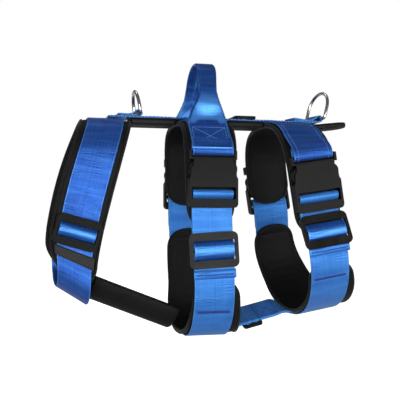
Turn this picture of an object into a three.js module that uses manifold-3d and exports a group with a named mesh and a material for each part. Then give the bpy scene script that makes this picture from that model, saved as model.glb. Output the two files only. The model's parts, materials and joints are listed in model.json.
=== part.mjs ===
// Three-strap padded dog harness: neck loop, front girth and rear girth joined by a spine strap,
// a chest strap and a belly strap. Millimetres, +Z up, +X towards the tail, -Y is the dog's left.
// The loops are drawn with Z = 0 at the lowest point and X = 0 at the front girth; the whole
// harness is then moved so that its origin is where it rests on the back: the middle of the
// underside of the front spine pad.
import * as THREE from "three";
import { mergeVertices } from "three/addons/utils/BufferGeometryUtils.js";
import Module from "manifold-3d";

const wasm = await Module();
wasm.setup();

// ---------- driving dimensions ----------
const WEBBING_WIDTH = 50;
const WEBBING_THICKNESS = 1.8;
const PAD_END_WIDTH = 60;
const PAD_WIDENING = 70;
const PAD_THICKNESS = 6;
const GAP = 0.3;
const PAD_GAP = 0.7;
const BACK_HEIGHT = 271;
const CURVE_STEPS = 11;
const ORIGIN = { x: -59, z: 265.1 };
const STRAIGHT_STEP = 12;
const NECK_WEBBING_WIDTH = 44;

// Each loop is a flat-topped hoop: upper and lower quarters are superellipses, with straight sides
// between them. sweep(z) is how far the middle of the strap lies along X at a height, and turn(z)
// is how far its cross lines are turned there, seen from the side.
const { smoothstep } = THREE.MathUtils;
const alongSweep = (sweep) => (z) => Math.atan((sweep(z + 1) - sweep(z - 1)) / 2);
const frontSweep = (z) => 1.5 + 4.5 * smoothstep(160 - z, 0, 110);
const rearSweep = (z) => 113 + 0.068 * Math.max(0, BACK_HEIGHT + 12 - z) ** 1.15;
const NECK = {
  levelDepth: 100, buckleAngle: 0, flare: null, halfWidth: 58, top: BACK_HEIGHT,
  upper: 198, upperPower: 2.6, bottom: 56, lower: 82, lowerPower: 2.3,
  sweep: (z) => -161 + 42 * Math.max(0, (z - 105) / 167) ** 1.35,
  turn: (z) => 0.25 + 0.32 * smoothstep(150 - z, 0, 95),
};
const FRONT = {
  levelDepth: 40, buckleAngle: 0, flare: null, halfWidth: 66, top: BACK_HEIGHT,
  upper: 212, upperPower: 3, bottom: 2, lower: 84, lowerPower: 2.6,
  sweep: frontSweep, turn: alongSweep(frontSweep),
};
const REAR = {
  levelDepth: 45, buckleAngle: -0.151, flare: { from: 155, to: 118, by: 12 },
  halfWidth: 86, top: BACK_HEIGHT,
  upper: 200, upperPower: 2.7, bottom: 29, lower: 116, lowerPower: 2.2,
  sweep: rearSweep, turn: alongSweep(rearSweep),
};

// Buckles: heights of the socket's mouth, and sizes in the buckle's own frame (z = 0 at the mouth).
const FRONT_MOUTH = 221;
const REAR_MOUTH = 217;
const BUCKLE_WIDTH = 60;
const BUCKLE_LENGTH = 60;
const BUCKLE_THICKNESS = 12;
const BUCKLE_STANDOFF = 0.8;
const BUCKLE_WALL = 2;
const BUCKLE_MIDDLE = BUCKLE_STANDOFF + BUCKLE_THICKNESS / 2;
const MOUTH_DEPTH = 25.5;
const PLUG_BAR_HEIGHT = 6.6;
const PLUG_BAR_RADIUS = 2.4;
const SOCKET_BAR_DEPTH = 42.5;
const SOCKET_BAR_RADIUS = 2.6;
const PRONG_PIVOT = { x: 22.5, z: -5.8 };
const PRONG_THICKNESS = 6.8;

// Slides (three-bar adjusters).
const SLIDE_THICKNESS = 4.2;
const FLARED_SLIDE_LIFT = 2.4;
const FRONT_SLIDE = { height: 110.5, width: 60, length: 43, window: 24 };
const REAR_SLIDE = { height: 134, width: 60, length: 41, window: 22 };
const NECK_SLIDE = { height: 132, width: 54, length: 36, window: 18 };

// Heights where the upper neck webbing meets the lower one, and the elastic keeper.
const NECK_SPLIT = { left: 148, right: 112 };
const KEEPER = { height: 104, length: 13, thickness: 1.4 };

// Pad ends, as heights on the left and right sides.
const YOKE = { left: 78, right: 82, width: 63, drift: 0 };
const FRONT_SADDLE = { left: 138, right: 168, width: 66, drift: 0 };
const FRONT_BELLY = { left: 74, right: 134, width: 74, drift: 4 };
const REAR_SADDLE = { left: 132, right: 172, width: 61, drift: 0 };
const REAR_BELLY = { left: 96, right: 140, width: 70, drift: 6 };

// Ends of the webbing tails that come back down from the socket bars.
const FRONT_TAILS = { left: 76, right: 140 };
const REAR_TAILS = { left: 106, right: 140 };

// Handle, spine strap, D-rings, tab, chest strap and belly strap.
const HANDLE = {
  base: 267.5, legTop: 300, top: 346, spread: 52, thickness: 4,
  baseWidth: 40, gripWidth: 22, lean: 0.09,
};
const SPINE = { from: -116, to: 158, width: 38, padWidth: 42, padThickness: 8 };
const RING = { width: 43, corner: 4, wire: 2.1, loopWidth: 24, turns: 44, rise: 4.6 };
const FRONT_RING = { x: -77, height: 28, lean: -0.15, yaw: 0, tail: 26 };
const REAR_RING = { x: 162, height: 36.5, lean: 0.26, yaw: 0.2, tail: 40 };
const SPINE_SLIDE = { x: 58, width: 50, length: 28, window: 16 };
const SPINE_TAIL = {
  from: 150, length: 51, width: 46, thickness: 7, height: 268.6, bendFrom: 160, rise: 0.11,
};
const CHEST = {
  start: new THREE.Vector2(-136, 49.5), end: new THREE.Vector2(-38, 10.5),
  radius: 32, halfAngle: 1.35, thickness: 7, webbingShare: 0.3, webbingDepth: 1.4,
};
const BELLY = {
  start: new THREE.Vector2(46, 18.6), end: new THREE.Vector2(112.5, 34.5),
  width: 38, roll: 0.42, slideAt: 0.32, slideLength: 26,
};

// Colours.
const BLUE = 0x1f63b8;
const DEEP_BLUE = 0x1b4f9c;
const BLACK = 0x17171a;
const PLASTIC = 0x232326;
const STEEL = 0xc4c6c8;

const harness = new THREE.Group();

// ---------- small tools ----------
const materialOf = (color, roughness, metalness = 0) =>
  new THREE.MeshStandardMaterial({ color, roughness, metalness });
const webbingMaterial = () => materialOf(BLUE, 0.45);
const deepWebbingMaterial = () => materialOf(DEEP_BLUE, 0.5);
const padMaterial = () => materialOf(BLACK, 0.9);
const plasticMaterial = () => materialOf(PLASTIC, 0.55);
const steelMaterial = () => materialOf(STEEL, 0.2, 1);

function addPart(name, geometry, material, parent = harness) {
  const mesh = new THREE.Mesh(geometry, material);
  mesh.name = name;
  parent.add(mesh);
  return mesh;
}

function toSolid(geometry) {
  const bare = geometry.clone();
  bare.deleteAttribute("normal");
  bare.deleteAttribute("uv");
  const merged = mergeVertices(bare, 1e-4);
  return new wasm.Manifold(new wasm.Mesh({
    numProp: 3,
    vertProperties: new Float32Array(merged.attributes.position.array),
    triVerts: new Uint32Array(merged.index.array),
  }));
}

function toGeometry(solid) {
  const mesh = solid.getMesh();
  const geometry = new THREE.BufferGeometry();
  geometry.setAttribute("position", new THREE.BufferAttribute(mesh.vertProperties, 3));
  geometry.setIndex(new THREE.BufferAttribute(mesh.triVerts, 1));
  return geometry;
}

const extrude = (shape, depth) =>
  new THREE.ExtrudeGeometry(shape, { depth, bevelEnabled: false, curveSegments: 8 });

// A shape drawn in (Y, Z), extruded along X and centred on X = 0.
function extrudeAlongX(shape, width) {
  const geometry = extrude(shape, width);
  geometry.translate(0, 0, -width / 2);
  geometry.applyMatrix4(new THREE.Matrix4().makeBasis(
    new THREE.Vector3(0, 1, 0), new THREE.Vector3(0, 0, 1), new THREE.Vector3(1, 0, 0)));
  return geometry;
}

// A shape drawn in (X, Z), extruded along Y from one value to another.
function extrudeAlongY(shape, from, to) {
  const geometry = extrude(shape, to - from);
  geometry.applyMatrix4(new THREE.Matrix4().makeBasis(
    new THREE.Vector3(1, 0, 0), new THREE.Vector3(0, 0, 1), new THREE.Vector3(0, -1, 0)));
  geometry.translate(0, to, 0);
  return geometry;
}

function block(width, depth, height, x = 0, y = 0, z = 0) {
  const geometry = new THREE.BoxGeometry(width, depth, height);
  geometry.translate(x, y, z);
  return geometry;
}

function roundBarAlongX(radius, length, y, z, sides = 14) {
  const geometry = new THREE.CylinderGeometry(radius, radius, length, sides);
  geometry.rotateZ(Math.PI / 2);
  geometry.translate(0, y, z);
  return geometry;
}

function roundedRectangle(width, height, radius, centreX = 0, centreY = 0) {
  const shape = new THREE.Shape();
  const [w, h] = [width / 2 - radius, height / 2 - radius];
  shape.absarc(centreX + w, centreY + h, radius, 0, Math.PI / 2);
  shape.absarc(centreX - w, centreY + h, radius, Math.PI / 2, Math.PI);
  shape.absarc(centreX - w, centreY - h, radius, Math.PI, Math.PI * 1.5);
  shape.absarc(centreX + w, centreY - h, radius, Math.PI * 1.5, Math.PI * 2);
  shape.closePath();
  return shape;
}

function vertexMap(geometry, change) {
  const position = geometry.attributes.position;
  const point = new THREE.Vector3();
  for (let i = 0; i < position.count; i += 1) {
    point.fromBufferAttribute(position, i);
    change(point);
    position.setXYZ(i, point.x, point.y, point.z);
  }
  return geometry;
}

// How much a strap's cross lines are turned at a height: fully on the sides, not on the back.
const turnAngle = (loop, z) => loop.turn(z) * smoothstep(loop.top - z, 6, loop.levelDepth);

const swept = (geometry, loop) => vertexMap(geometry, (point) => {
  const angle = turnAngle(loop, point.z);
  const across = point.x;
  point.x = loop.sweep(point.z) + across * Math.cos(angle);
  point.z -= across * Math.sin(angle);
});

// ---------- loops ----------
// Extra half width of a lower run whose sides flare outwards below the buckles.
function flareAt(loop, z) {
  if (!loop.flare) return 0;
  const { from, to, by } = loop.flare;
  return by * THREE.MathUtils.clamp((from - z) / (from - to), 0, 1);
}

// Points (Y, Z) of one side, from a height up to the top centre or down to the bottom centre.
// side is -1 for the dog's left and +1 for its right.
function sidePoints(loop, side, fromHeight, goesUp) {
  const limit = goesUp ? loop.upper : loop.lower;
  const end = goesUp ? loop.top : loop.bottom;
  const power = goesUp ? loop.upperPower : loop.lowerPower;
  const rise = Math.abs(end - limit);
  const away = goesUp ? 1 : -1;
  const halfWidth = loop.halfWidth + (goesUp || !loop.flare ? 0 : loop.flare.by);
  const points = [];
  const straight = (limit - fromHeight) * away;
  let startAngle = 0;
  if (straight > 0) {
    const count = Math.ceil(straight / STRAIGHT_STEP);
    for (let i = 0; i < count; i += 1) {
      const height = fromHeight + away * straight * i / count;
      const flare = goesUp ? 0 : flareAt(loop, height);
      points.push(new THREE.Vector2(side * (loop.halfWidth + flare), height));
    }
  } else {
    startAngle = Math.asin(((fromHeight - limit) * away / rise) ** (power / 2));
  }
  for (let i = 0; i <= CURVE_STEPS; i += 1) {
    const angle = startAngle + (Math.PI / 2 - startAngle) * i / CURVE_STEPS;
    points.push(new THREE.Vector2(
      side * halfWidth * Math.max(0, Math.cos(angle)) ** (2 / power),
      limit + away * rise * Math.sin(angle) ** (2 / power)));
  }
  return points;
}

// A run over the top or under the bottom, from a height on the left to a height on the right.
function run(loop, leftHeight, rightHeight, goesUp) {
  const left = sidePoints(loop, -1, leftHeight, goesUp);
  const right = sidePoints(loop, 1, rightHeight, goesUp);
  right.pop();
  return left.concat(right.reverse());
}

// A band of constant thickness beside a line of points. Positive offsets lie to the line's left.
function bandShape(points, inner, outer) {
  const normals = points.map((point, i) => {
    const before = points[Math.max(0, i - 1)];
    const after = points[Math.min(points.length - 1, i + 1)];
    const tangent = after.clone().sub(before).normalize();
    return new THREE.Vector2(-tangent.y, tangent.x);
  });
  const edge = (offset) => points.map(
    (point, i) => point.clone().addScaledVector(normals[i], offset));
  return new THREE.Shape(edge(inner).concat(edge(outer).reverse()));
}

// Outward offsets from the loop's base line. Running over the top from the left keeps outside on
// the line's left; running under the bottom keeps it on the right.
function loopBand(loop, leftHeight, rightHeight, goesUp, inner, outer, width) {
  const sign = goesUp ? 1 : -1;
  const shape = bandShape(run(loop, leftHeight, rightHeight, goesUp), sign * inner, sign * outer);
  return swept(extrudeAlongX(shape, width), loop);
}

// ---------- pads ----------
// A pad follows a loop just inside its webbing. It ends in a rounded tongue on each side, widens
// from its ends to its full width, and drifts to the rear of its webbing as it passes underneath.
function paddedBand(loop, { left, right, width, drift }, goesUp) {
  const toward = goesUp ? 1 : -1;
  const half = width / 2 + 0.1;
  const endHalf = Math.min(PAD_END_WIDTH / 2, half);
  const radius = PAD_END_WIDTH * 0.42;
  const shape = bandShape(run(loop, left, right, goesUp),
    toward * -PAD_THICKNESS, toward * -PAD_GAP);
  const band = toSolid(extrudeAlongX(shape, width));
  const far = loop.halfWidth + 20;
  const tongue = (height, from, to) => {
    const reach = goesUp ? loop.top + 20 : loop.bottom - 20;
    const outline = new THREE.Shape();
    const shoulder = height + toward * radius;
    const wide = shoulder + toward * Math.min(PAD_WIDENING, Math.abs(reach - shoulder) - 25);
    outline.moveTo(-half, reach);
    outline.lineTo(-half, wide);
    outline.lineTo(-endHalf, shoulder);
    outline.quadraticCurveTo(-endHalf, height, 0, height);
    outline.quadraticCurveTo(endHalf, height, endHalf, shoulder);
    outline.lineTo(half, wide);
    outline.lineTo(half, reach);
    outline.closePath();
    return toSolid(extrudeAlongY(outline, from, to));
  };
  const cutter = tongue(left, -far, 0).add(tongue(right, 0, far));
  const geometry = vertexMap(toGeometry(band.intersect(cutter)), (point) => {
    point.x += drift * smoothstep(110 - point.z, 0, 60);
  });
  return swept(geometry, loop);
}

// ---------- buckles ----------
// Buckle frame: X across the strap, -Y outwards, Z up along the strap, origin on the loop's base
// line at the mouth. The right side uses the same group turned half a turn about Z.
function buckleGroup(loop, side, mouthHeight) {
  const group = new THREE.Group();
  const tilt = new THREE.Group();
  tilt.position.set(loop.sweep(mouthHeight), side * loop.halfWidth, mouthHeight);
  tilt.rotation.y = loop.buckleAngle;
  group.rotation.z = side > 0 ? Math.PI : 0;
  tilt.add(group);
  harness.add(tilt);
  return group;
}

const outward = (offset) => -offset;

const SCOOP = { radius: 10, beside: 4.5, depth: 5.5 };
function socketGeometry() {
  const half = BUCKLE_WIDTH / 2;
  const outline = new THREE.Shape();
  outline.moveTo(-half + 2.2, -3);
  outline.quadraticCurveTo(0, 2.2, half - 2.2, -3);
  outline.lineTo(half - 1.8, -21);
  outline.quadraticCurveTo(half - 1.6, -23.5, half, -25);
  outline.lineTo(half, -BUCKLE_LENGTH + 6);
  outline.quadraticCurveTo(half, -BUCKLE_LENGTH, half - 6, -BUCKLE_LENGTH);
  outline.lineTo(-half + 6, -BUCKLE_LENGTH);
  outline.quadraticCurveTo(-half, -BUCKLE_LENGTH, -half, -BUCKLE_LENGTH + 6);
  outline.lineTo(-half, -25);
  outline.quadraticCurveTo(-half + 1.6, -23.5, -half + 1.8, -21);
  outline.closePath();
  const near = outward(BUCKLE_STANDOFF + BUCKLE_THICKNESS);
  const body = toSolid(extrudeAlongY(outline, near, outward(BUCKLE_STANDOFF)));
  const hollow = BUCKLE_THICKNESS - 2 * BUCKLE_WALL;
  const cavity = toSolid(block(BUCKLE_WIDTH + 8, hollow, MOUTH_DEPTH + 6,
    0, outward(BUCKLE_MIDDLE), 3 - MOUTH_DEPTH / 2));
  const windowCut = toSolid(block(WEBBING_WIDTH + 4, 40, 14, 0, outward(BUCKLE_MIDDLE), -SOCKET_BAR_DEPTH));
  const underBar = toSolid(block(WEBBING_WIDTH + 4, 6.4, 20,
    0, outward(BUCKLE_STANDOFF + 2.7), -BUCKLE_LENGTH + 8));
  let solid = body.subtract(cavity).subtract(windowCut).subtract(underBar);
  for (const x of [-1, 1]) {
    const scoop = new THREE.CylinderGeometry(SCOOP.radius, SCOOP.radius, 40, 20);
    scoop.translate(x * (half + SCOOP.beside), outward(BUCKLE_MIDDLE), -SCOOP.depth);
    solid = solid.subtract(toSolid(scoop));
  }
  const bar = toSolid(roundBarAlongX(SOCKET_BAR_RADIUS, WEBBING_WIDTH + 5,
    outward(BUCKLE_MIDDLE), -SOCKET_BAR_DEPTH));
  return toGeometry(solid.add(bar));
}

function plugGeometry() {
  const middle = outward(BUCKLE_MIDDLE);
  const parts = [
    block(BUCKLE_WIDTH - 1, PRONG_THICKNESS, 2.6, 0, middle, -1),
    block(13, PRONG_THICKNESS - 1, 23, 0, middle, -12.5),
    roundBarAlongX(PLUG_BAR_RADIUS, BUCKLE_WIDTH - 3, middle, PLUG_BAR_HEIGHT),
  ];
  for (const x of [-1, 1]) {
    parts.push(block(3.4, PRONG_THICKNESS, 10.6, x * (BUCKLE_WIDTH / 2 - 2.2), middle, 3.1));
  }
  return toGeometry(parts.map(toSolid).reduce((sum, solid) => sum.add(solid)));
}

// One release prong, with its rounded root on the pivot; side is +1 or -1 across the strap.
function prongGeometry(side) {
  const { x, z } = PRONG_PIVOT;
  const outline = new THREE.Shape();
  outline.absarc(x, z, 2.8, Math.PI, 0, true);
  outline.quadraticCurveTo(30.2, -9, 29.6, -14.5);
  outline.quadraticCurveTo(29.2, -19.5, 25.5, -23.6);
  outline.lineTo(22.6, -23.6);
  outline.quadraticCurveTo(25, -18, 23.6, -13.5);
  outline.quadraticCurveTo(22.6, -10, x - 2.8, z);
  outline.closePath();
  const half = PRONG_THICKNESS / 2;
  const geometry = extrudeAlongY(outline, outward(BUCKLE_MIDDLE) - half, outward(BUCKLE_MIDDLE) + half);
  if (side < 0) {
    geometry.rotateZ(Math.PI);
    geometry.translate(0, 2 * outward(BUCKLE_MIDDLE), 0);
  }
  return geometry;
}

function addBuckle(name, loop, side, mouthHeight) {
  const group = buckleGroup(loop, side, mouthHeight);
  addPart(`${name}_plug`, plugGeometry(), plasticMaterial(), group);
  addPart(`${name}_socket`, socketGeometry(), plasticMaterial(), group);
  addPart(`${name}_prong_a`, prongGeometry(-1), plasticMaterial(), group);
  addPart(`${name}_prong_b`, prongGeometry(1), plasticMaterial(), group);
}

// ---------- webbing that turns round buckle bars ----------
// Offsets and heights beside a straight side, measured from the mouth of a buckle.
function plugHook(loop, side, mouthHeight) {
  const turn = PLUG_BAR_RADIUS + GAP + WEBBING_THICKNESS / 2;
  const points = [];
  const add = (offset, height) => points.push(
    new THREE.Vector2(side * (loop.halfWidth + offset), mouthHeight + height));
  add(BUCKLE_MIDDLE + turn, PLUG_BAR_HEIGHT + 3);
  for (let i = 0; i <= 6; i += 1) {
    const angle = Math.PI * i / 6;
    add(BUCKLE_MIDDLE + turn * Math.cos(angle), PLUG_BAR_HEIGHT - turn * Math.sin(angle));
  }
  add(BUCKLE_MIDDLE - turn - 0.3, PLUG_BAR_HEIGHT + 6);
  add(BUCKLE_MIDDLE - turn - 0.9, PLUG_BAR_HEIGHT + 11);
  return points;
}

// Webbing over the back, hooked round the plug bar at both ends.
function upperWebbing(loop, mouthHeight) {
  const leave = mouthHeight + 33;
  const centre = 0.1 + WEBBING_THICKNESS / 2;
  const middleRun = run(loop, leave, leave, true);
  const lifted = bandCentre(middleRun, centre);
  const left = plugHook(loop, -1, mouthHeight).reverse();
  const right = plugHook(loop, 1, mouthHeight);
  const shape = bandShape(left.concat(lifted, right), -WEBBING_THICKNESS / 2, WEBBING_THICKNESS / 2);
  return swept(extrudeAlongX(shape, WEBBING_WIDTH), loop);
}

function bandCentre(points, offset) {
  return points.map((point, i) => {
    const before = points[Math.max(0, i - 1)];
    const after = points[Math.min(points.length - 1, i + 1)];
    const tangent = after.clone().sub(before).normalize();
    return new THREE.Vector2(point.x - tangent.y * offset, point.y + tangent.x * offset);
  });
}

// Webbing under the belly: up to a socket bar on each side, round it, and back down. The left
// tail is long and carries the slide; the right one is a short sewn return.
function lowerWebbing(loop, mouthHeight, tailEnd) {
  const inner = 0.2 + WEBBING_THICKNESS / 2;
  const outer = inner + WEBBING_THICKNESS + GAP;
  const barHeight = mouthHeight - SOCKET_BAR_DEPTH * Math.cos(loop.buckleAngle);
  const turn = SOCKET_BAR_RADIUS + GAP + WEBBING_THICKNESS / 2;
  const hook = (side, end) => {
    const points = [];
    const add = (offset, height) => points.push(
      new THREE.Vector2(side * (loop.halfWidth + flareAt(loop, height) + offset), height));
    for (let height = end; height < barHeight - 26; height += STRAIGHT_STEP) add(outer, height);
    add(outer, barHeight - 14);
    add(outer, barHeight - 8);
    add(BUCKLE_MIDDLE + turn - 1.4, barHeight - 3.2);
    for (let i = 0; i <= 6; i += 1) {
      const angle = Math.PI * i / 6;
      add(BUCKLE_MIDDLE + turn * Math.cos(angle), barHeight + turn * Math.sin(angle));
    }
    add(inner + 0.3, barHeight - 6);
    add(inner, barHeight - 12);
    return points;
  };
  const under = bandCentre(run(loop, barHeight - 18, barHeight - 18, false), -inner);
  const line = hook(-1, tailEnd.left).concat(under, hook(1, tailEnd.right).reverse());
  const shape = bandShape(line, -WEBBING_THICKNESS / 2, WEBBING_THICKNESS / 2);
  return swept(extrudeAlongX(shape, WEBBING_WIDTH), loop);
}

// ---------- slides ----------
function slideGeometry({ width, length, window }) {
  const frame = roundedRectangle(width, length, 7);
  frame.holes.push(roundedRectangle(width - 8, window, 1.6));
  const body = toSolid(extrudeAlongY(frame, outward(SLIDE_THICKNESS), 0));
  const bar = toSolid(roundBarAlongX(1.6, width - 6, outward(SLIDE_THICKNESS / 2 - 0.2), 0));
  return toGeometry(body.add(bar));
}

// The turn of webbing that passes over a slide's middle bar.
function slideTurnGeometry({ width, window }) {
  const height = window - 1.6;
  const points = [];
  const count = 10;
  for (let i = 0; i <= count; i += 1) {
    const t = i / count * 2 - 1;
    points.push(new THREE.Vector2(outward(1.1 + 4.6 * (1 - t ** 4)), t * height / 2));
  }
  const shape = bandShape(points, -0.7, 0.7);
  return extrudeAlongX(shape, width - 10.6);
}

function addLeftSlide(name, loop, slide, standoff) {
  const { height } = slide;
  const tilt = new THREE.Group();
  const width = loop.halfWidth + flareAt(loop, height) + standoff;
  tilt.position.set(loop.sweep(height), -width, height);
  tilt.rotation.y = turnAngle(loop, height);
  const lean = new THREE.Group();
  lean.rotation.x = -Math.atan2(flareAt(loop, height - 8) - flareAt(loop, height + 8), 16);
  tilt.add(lean);
  harness.add(tilt);
  addPart(name, slideGeometry(slide), plasticMaterial(), lean);
  addPart(`${name}_webbing_turn`, slideTurnGeometry(slide), webbingMaterial(), lean);
}

// ---------- neck loop ----------
function addNeck() {
  addPart("neck_yoke_pad", paddedBand(NECK, YOKE, true), padMaterial());
  const top = WEBBING_THICKNESS;
  const { left, right } = NECK_SPLIT;
  addPart("neck_upper_webbing",
    loopBand(NECK, left, right, true, 0, top, NECK_WEBBING_WIDTH), webbingMaterial());
  addPart("neck_lower_webbing",
    loopBand(NECK, left - 0.5, right - 0.5, false, 0, top, NECK_WEBBING_WIDTH), webbingMaterial());
  addLeftSlide("neck_left_slide", NECK, NECK_SLIDE, top + 0.4);
  const { height, length, thickness } = KEEPER;
  const keeper = block(NECK_WEBBING_WIDTH + 5, thickness, length,
    0, -(NECK.halfWidth + top + thickness / 2 + 0.5), height);
  addPart("neck_keeper", swept(keeper, NECK), padMaterial());
}

// ---------- girths ----------
function addGirth(name, loop, { saddle, belly, mouthHeight, tails, slide }) {
  addPart(`${name}_saddle_pad`, paddedBand(loop, saddle, true), padMaterial());
  addPart(`${name}_belly_pad`, paddedBand(loop, belly, false), padMaterial());
  addPart(`${name}_upper_webbing`, upperWebbing(loop, mouthHeight), deepWebbingMaterial());
  addPart(`${name}_lower_webbing`, lowerWebbing(loop, mouthHeight, tails), webbingMaterial());
  addBuckle(`${name}_left`, loop, -1, mouthHeight);
  addBuckle(`${name}_right`, loop, 1, mouthHeight);
  const standoff = 0.2 + 2 * WEBBING_THICKNESS + 2 * GAP + (loop.flare ? FLARED_SLIDE_LIFT : 0.2);
  addLeftSlide(`${name}_left_slide`, loop, slide, standoff);
}

// ---------- handle ----------
// The handle is a doubled strap that arches over the back and narrows to a grip. Its sewn ends are
// patches on the front girth, just above the buckles.
function handlePatch(side) {
  const leave = FRONT_MOUTH + 33;
  const turn = PLUG_BAR_RADIUS + GAP + WEBBING_THICKNESS / 2;
  const low = new THREE.Vector2(side * (FRONT.halfWidth + BUCKLE_MIDDLE + turn), FRONT_MOUTH + 9.5);
  const over = bandCentre(run(FRONT, leave, leave, true), 0.1 + WEBBING_THICKNESS / 2);
  const line = [low];
  const ordered = side < 0 ? over : over.slice().reverse();
  line.push(ordered[0], ordered[1], ordered[2]);
  const near = side < 0 ? 1 : -1;
  const inner = WEBBING_THICKNESS / 2 + GAP;
  const shape = bandShape(line, near * inner, near * (inner + WEBBING_THICKNESS));
  return extrudeAlongX(shape, WEBBING_WIDTH - 1);
}

// The arch of the handle, cut off above or below a height: the two legs are soft and bend, and
// the grip swings over them.
function handleGeometry(fromHeight, toHeight) {
  const { base, top, spread, thickness, baseWidth, gripWidth, lean } = HANDLE;
  const points = [];
  const steps = 22;
  for (let i = 0; i <= steps; i += 1) {
    const t = i / steps * 2 - 1;
    const lift = (1 - Math.abs(t) ** 2.1) ** 0.62;
    points.push(new THREE.Vector2(t * spread, base + (top - base) * lift));
  }
  const band = toSolid(extrudeAlongX(bandShape(points, -thickness / 2, thickness / 2), baseWidth));
  const outline = new THREE.Shape();
  outline.moveTo(-baseWidth / 2, base - 10);
  outline.lineTo(-baseWidth / 2, base + 2);
  outline.quadraticCurveTo(-gripWidth / 2, base + 8, -gripWidth / 2, base + 30);
  outline.lineTo(-gripWidth / 2, top + 10);
  outline.lineTo(gripWidth / 2, top + 10);
  outline.lineTo(gripWidth / 2, base + 30);
  outline.quadraticCurveTo(gripWidth / 2, base + 8, baseWidth / 2, base + 2);
  outline.lineTo(baseWidth / 2, base - 10);
  outline.closePath();
  const neck = toSolid(extrudeAlongY(outline, -spread - 20, spread + 20));
  const slab = toSolid(block(200, 300, toHeight - fromHeight, 0, 0, (fromHeight + toHeight) / 2));
  const solid = band.intersect(neck).intersect(slab);
  return { solid, lean: (point) => { point.x += lean * Math.max(0, point.z - base); } };
}

function addHandle() {
  addPart("handle_tab_left", handlePatch(-1), deepWebbingMaterial());
  addPart("handle_tab_right", handlePatch(1), deepWebbingMaterial());
  const legs = handleGeometry(HANDLE.base - 10, HANDLE.legTop - GAP);
  const halfSpace = (side) => toSolid(block(200, 200, 400, 0, side * 100, HANDLE.base));
  const left = vertexMap(toGeometry(legs.solid.intersect(halfSpace(-1))), legs.lean);
  const right = vertexMap(toGeometry(legs.solid.intersect(halfSpace(1))), legs.lean);
  addPart("handle_leg_left", left, webbingMaterial());
  addPart("handle_leg_right", right, webbingMaterial());
  const grip = handleGeometry(HANDLE.legTop, HANDLE.top + 10);
  addPart("handle_grip", vertexMap(toGeometry(grip.solid), grip.lean), webbingMaterial());
}

// ---------- spine strap, D-rings and tab ----------
const flatStrip = (from, to, width, bottom, thickness, y = 0) =>
  block(to - from, width, thickness, (from + to) / 2, y, bottom + thickness / 2);

// A D-ring standing on a bar that runs along Y, with the bar's middle on the origin: a torus whose
// round middle line is redrawn as a D.
function ringGeometry(height) {
  const { width, corner, wire, turns } = RING;
  const half = width / 2;
  const outline = new THREE.Path();
  outline.moveTo(corner - half, 0);
  outline.lineTo(half - corner, 0);
  outline.absarc(half - corner, corner, corner, -Math.PI / 2, 0);
  outline.absarc(0, height - half, half, 0, Math.PI);
  outline.absarc(corner - half, corner, corner, Math.PI, Math.PI * 1.5);
  const line = outline.getSpacedPoints(turns);
  const around = 10;
  const round = half * 2;
  const torus = new THREE.TorusGeometry(round, wire, around, turns);
  return vertexMap(torus, (point) => {
    const share = Math.atan2(point.y, point.x) / (Math.PI * 2);
    const i = Math.round((share + 1) * turns) % turns;
    const tangent = line[(i + 1) % turns].clone().sub(line[(i + turns - 1) % turns]).normalize();
    const out = Math.hypot(point.x, point.y) - round;
    point.set(point.z, line[i].x + tangent.y * out, line[i].y - tangent.x * out);
  });
}

// A strip folded round a D-ring's bar: both tails point the same way along X.
function ringLoop(barX, barZ, tail, direction, floor) {
  const turn = RING.wire + 3 * GAP + WEBBING_THICKNESS / 2;
  const points = [new THREE.Vector2(barX + direction * tail, floor + WEBBING_THICKNESS * 1.5 + GAP)];
  points.push(new THREE.Vector2(barX + direction * (turn + 5), floor + WEBBING_THICKNESS * 1.5 + GAP + 0.6));
  for (let i = 0; i <= 8; i += 1) {
    const angle = Math.PI / 2 - Math.PI * i / 8;
    points.push(new THREE.Vector2(barX - direction * turn * Math.cos(angle), barZ + turn * Math.sin(angle)));
  }
  points.push(new THREE.Vector2(barX + direction * (turn + 4), floor + WEBBING_THICKNESS / 2));
  points.push(new THREE.Vector2(barX + direction * tail, floor + WEBBING_THICKNESS / 2));
  const shape = bandShape(points, -WEBBING_THICKNESS / 2, WEBBING_THICKNESS / 2);
  return extrudeAlongY(shape, -RING.loopWidth / 2, RING.loopWidth / 2);
}

function addRing(name, { x, height, lean, yaw, tail }, floor) {
  const group = new THREE.Group();
  group.position.set(x, 0, 0);
  group.rotation.z = yaw;
  harness.add(group);
  const ring = addPart(name, ringGeometry(height), steelMaterial(), group);
  ring.position.set(0, 0, floor + RING.rise);
  ring.rotation.y = lean;
  addPart(`${name}_loop`, ringLoop(0, floor + RING.rise, tail, -1, floor), webbingMaterial(), group);
}

function addSpine() {
  const under = BACK_HEIGHT + 2.4;
  const { width, padWidth, padThickness, from, to } = SPINE;
  addPart("spine_webbing", flatStrip(from, to, width, under, WEBBING_THICKNESS), webbingMaterial());
  const yokeEdge = NECK.sweep(BACK_HEIGHT) + YOKE.width / 2;
  const rearEdge = REAR.sweep(BACK_HEIGHT) - REAR_SADDLE.width / 2;
  const pad = (start, end) => {
    const outline = roundedRectangle(padWidth, padThickness, padThickness / 2 - 0.2);
    const geometry = extrudeAlongX(outline, end - start);
    geometry.translate((start + end) / 2, 0, under - GAP - padThickness / 2);
    return geometry;
  };
  const frontMiddle = FRONT.sweep(BACK_HEIGHT);
  const saddleHalf = FRONT_SADDLE.width / 2 + 0.5;
  addPart("spine_pad_front", pad(yokeEdge + 0.5, frontMiddle - saddleHalf), padMaterial());
  addPart("spine_pad_rear", pad(frontMiddle + saddleHalf, rearEdge - 0.5), padMaterial());
  const above = under + WEBBING_THICKNESS + GAP;
  addRing("d_ring_front", FRONT_RING, above);
  addRing("d_ring_rear", REAR_RING, above);
  addSpineSlide(above);
}

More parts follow.
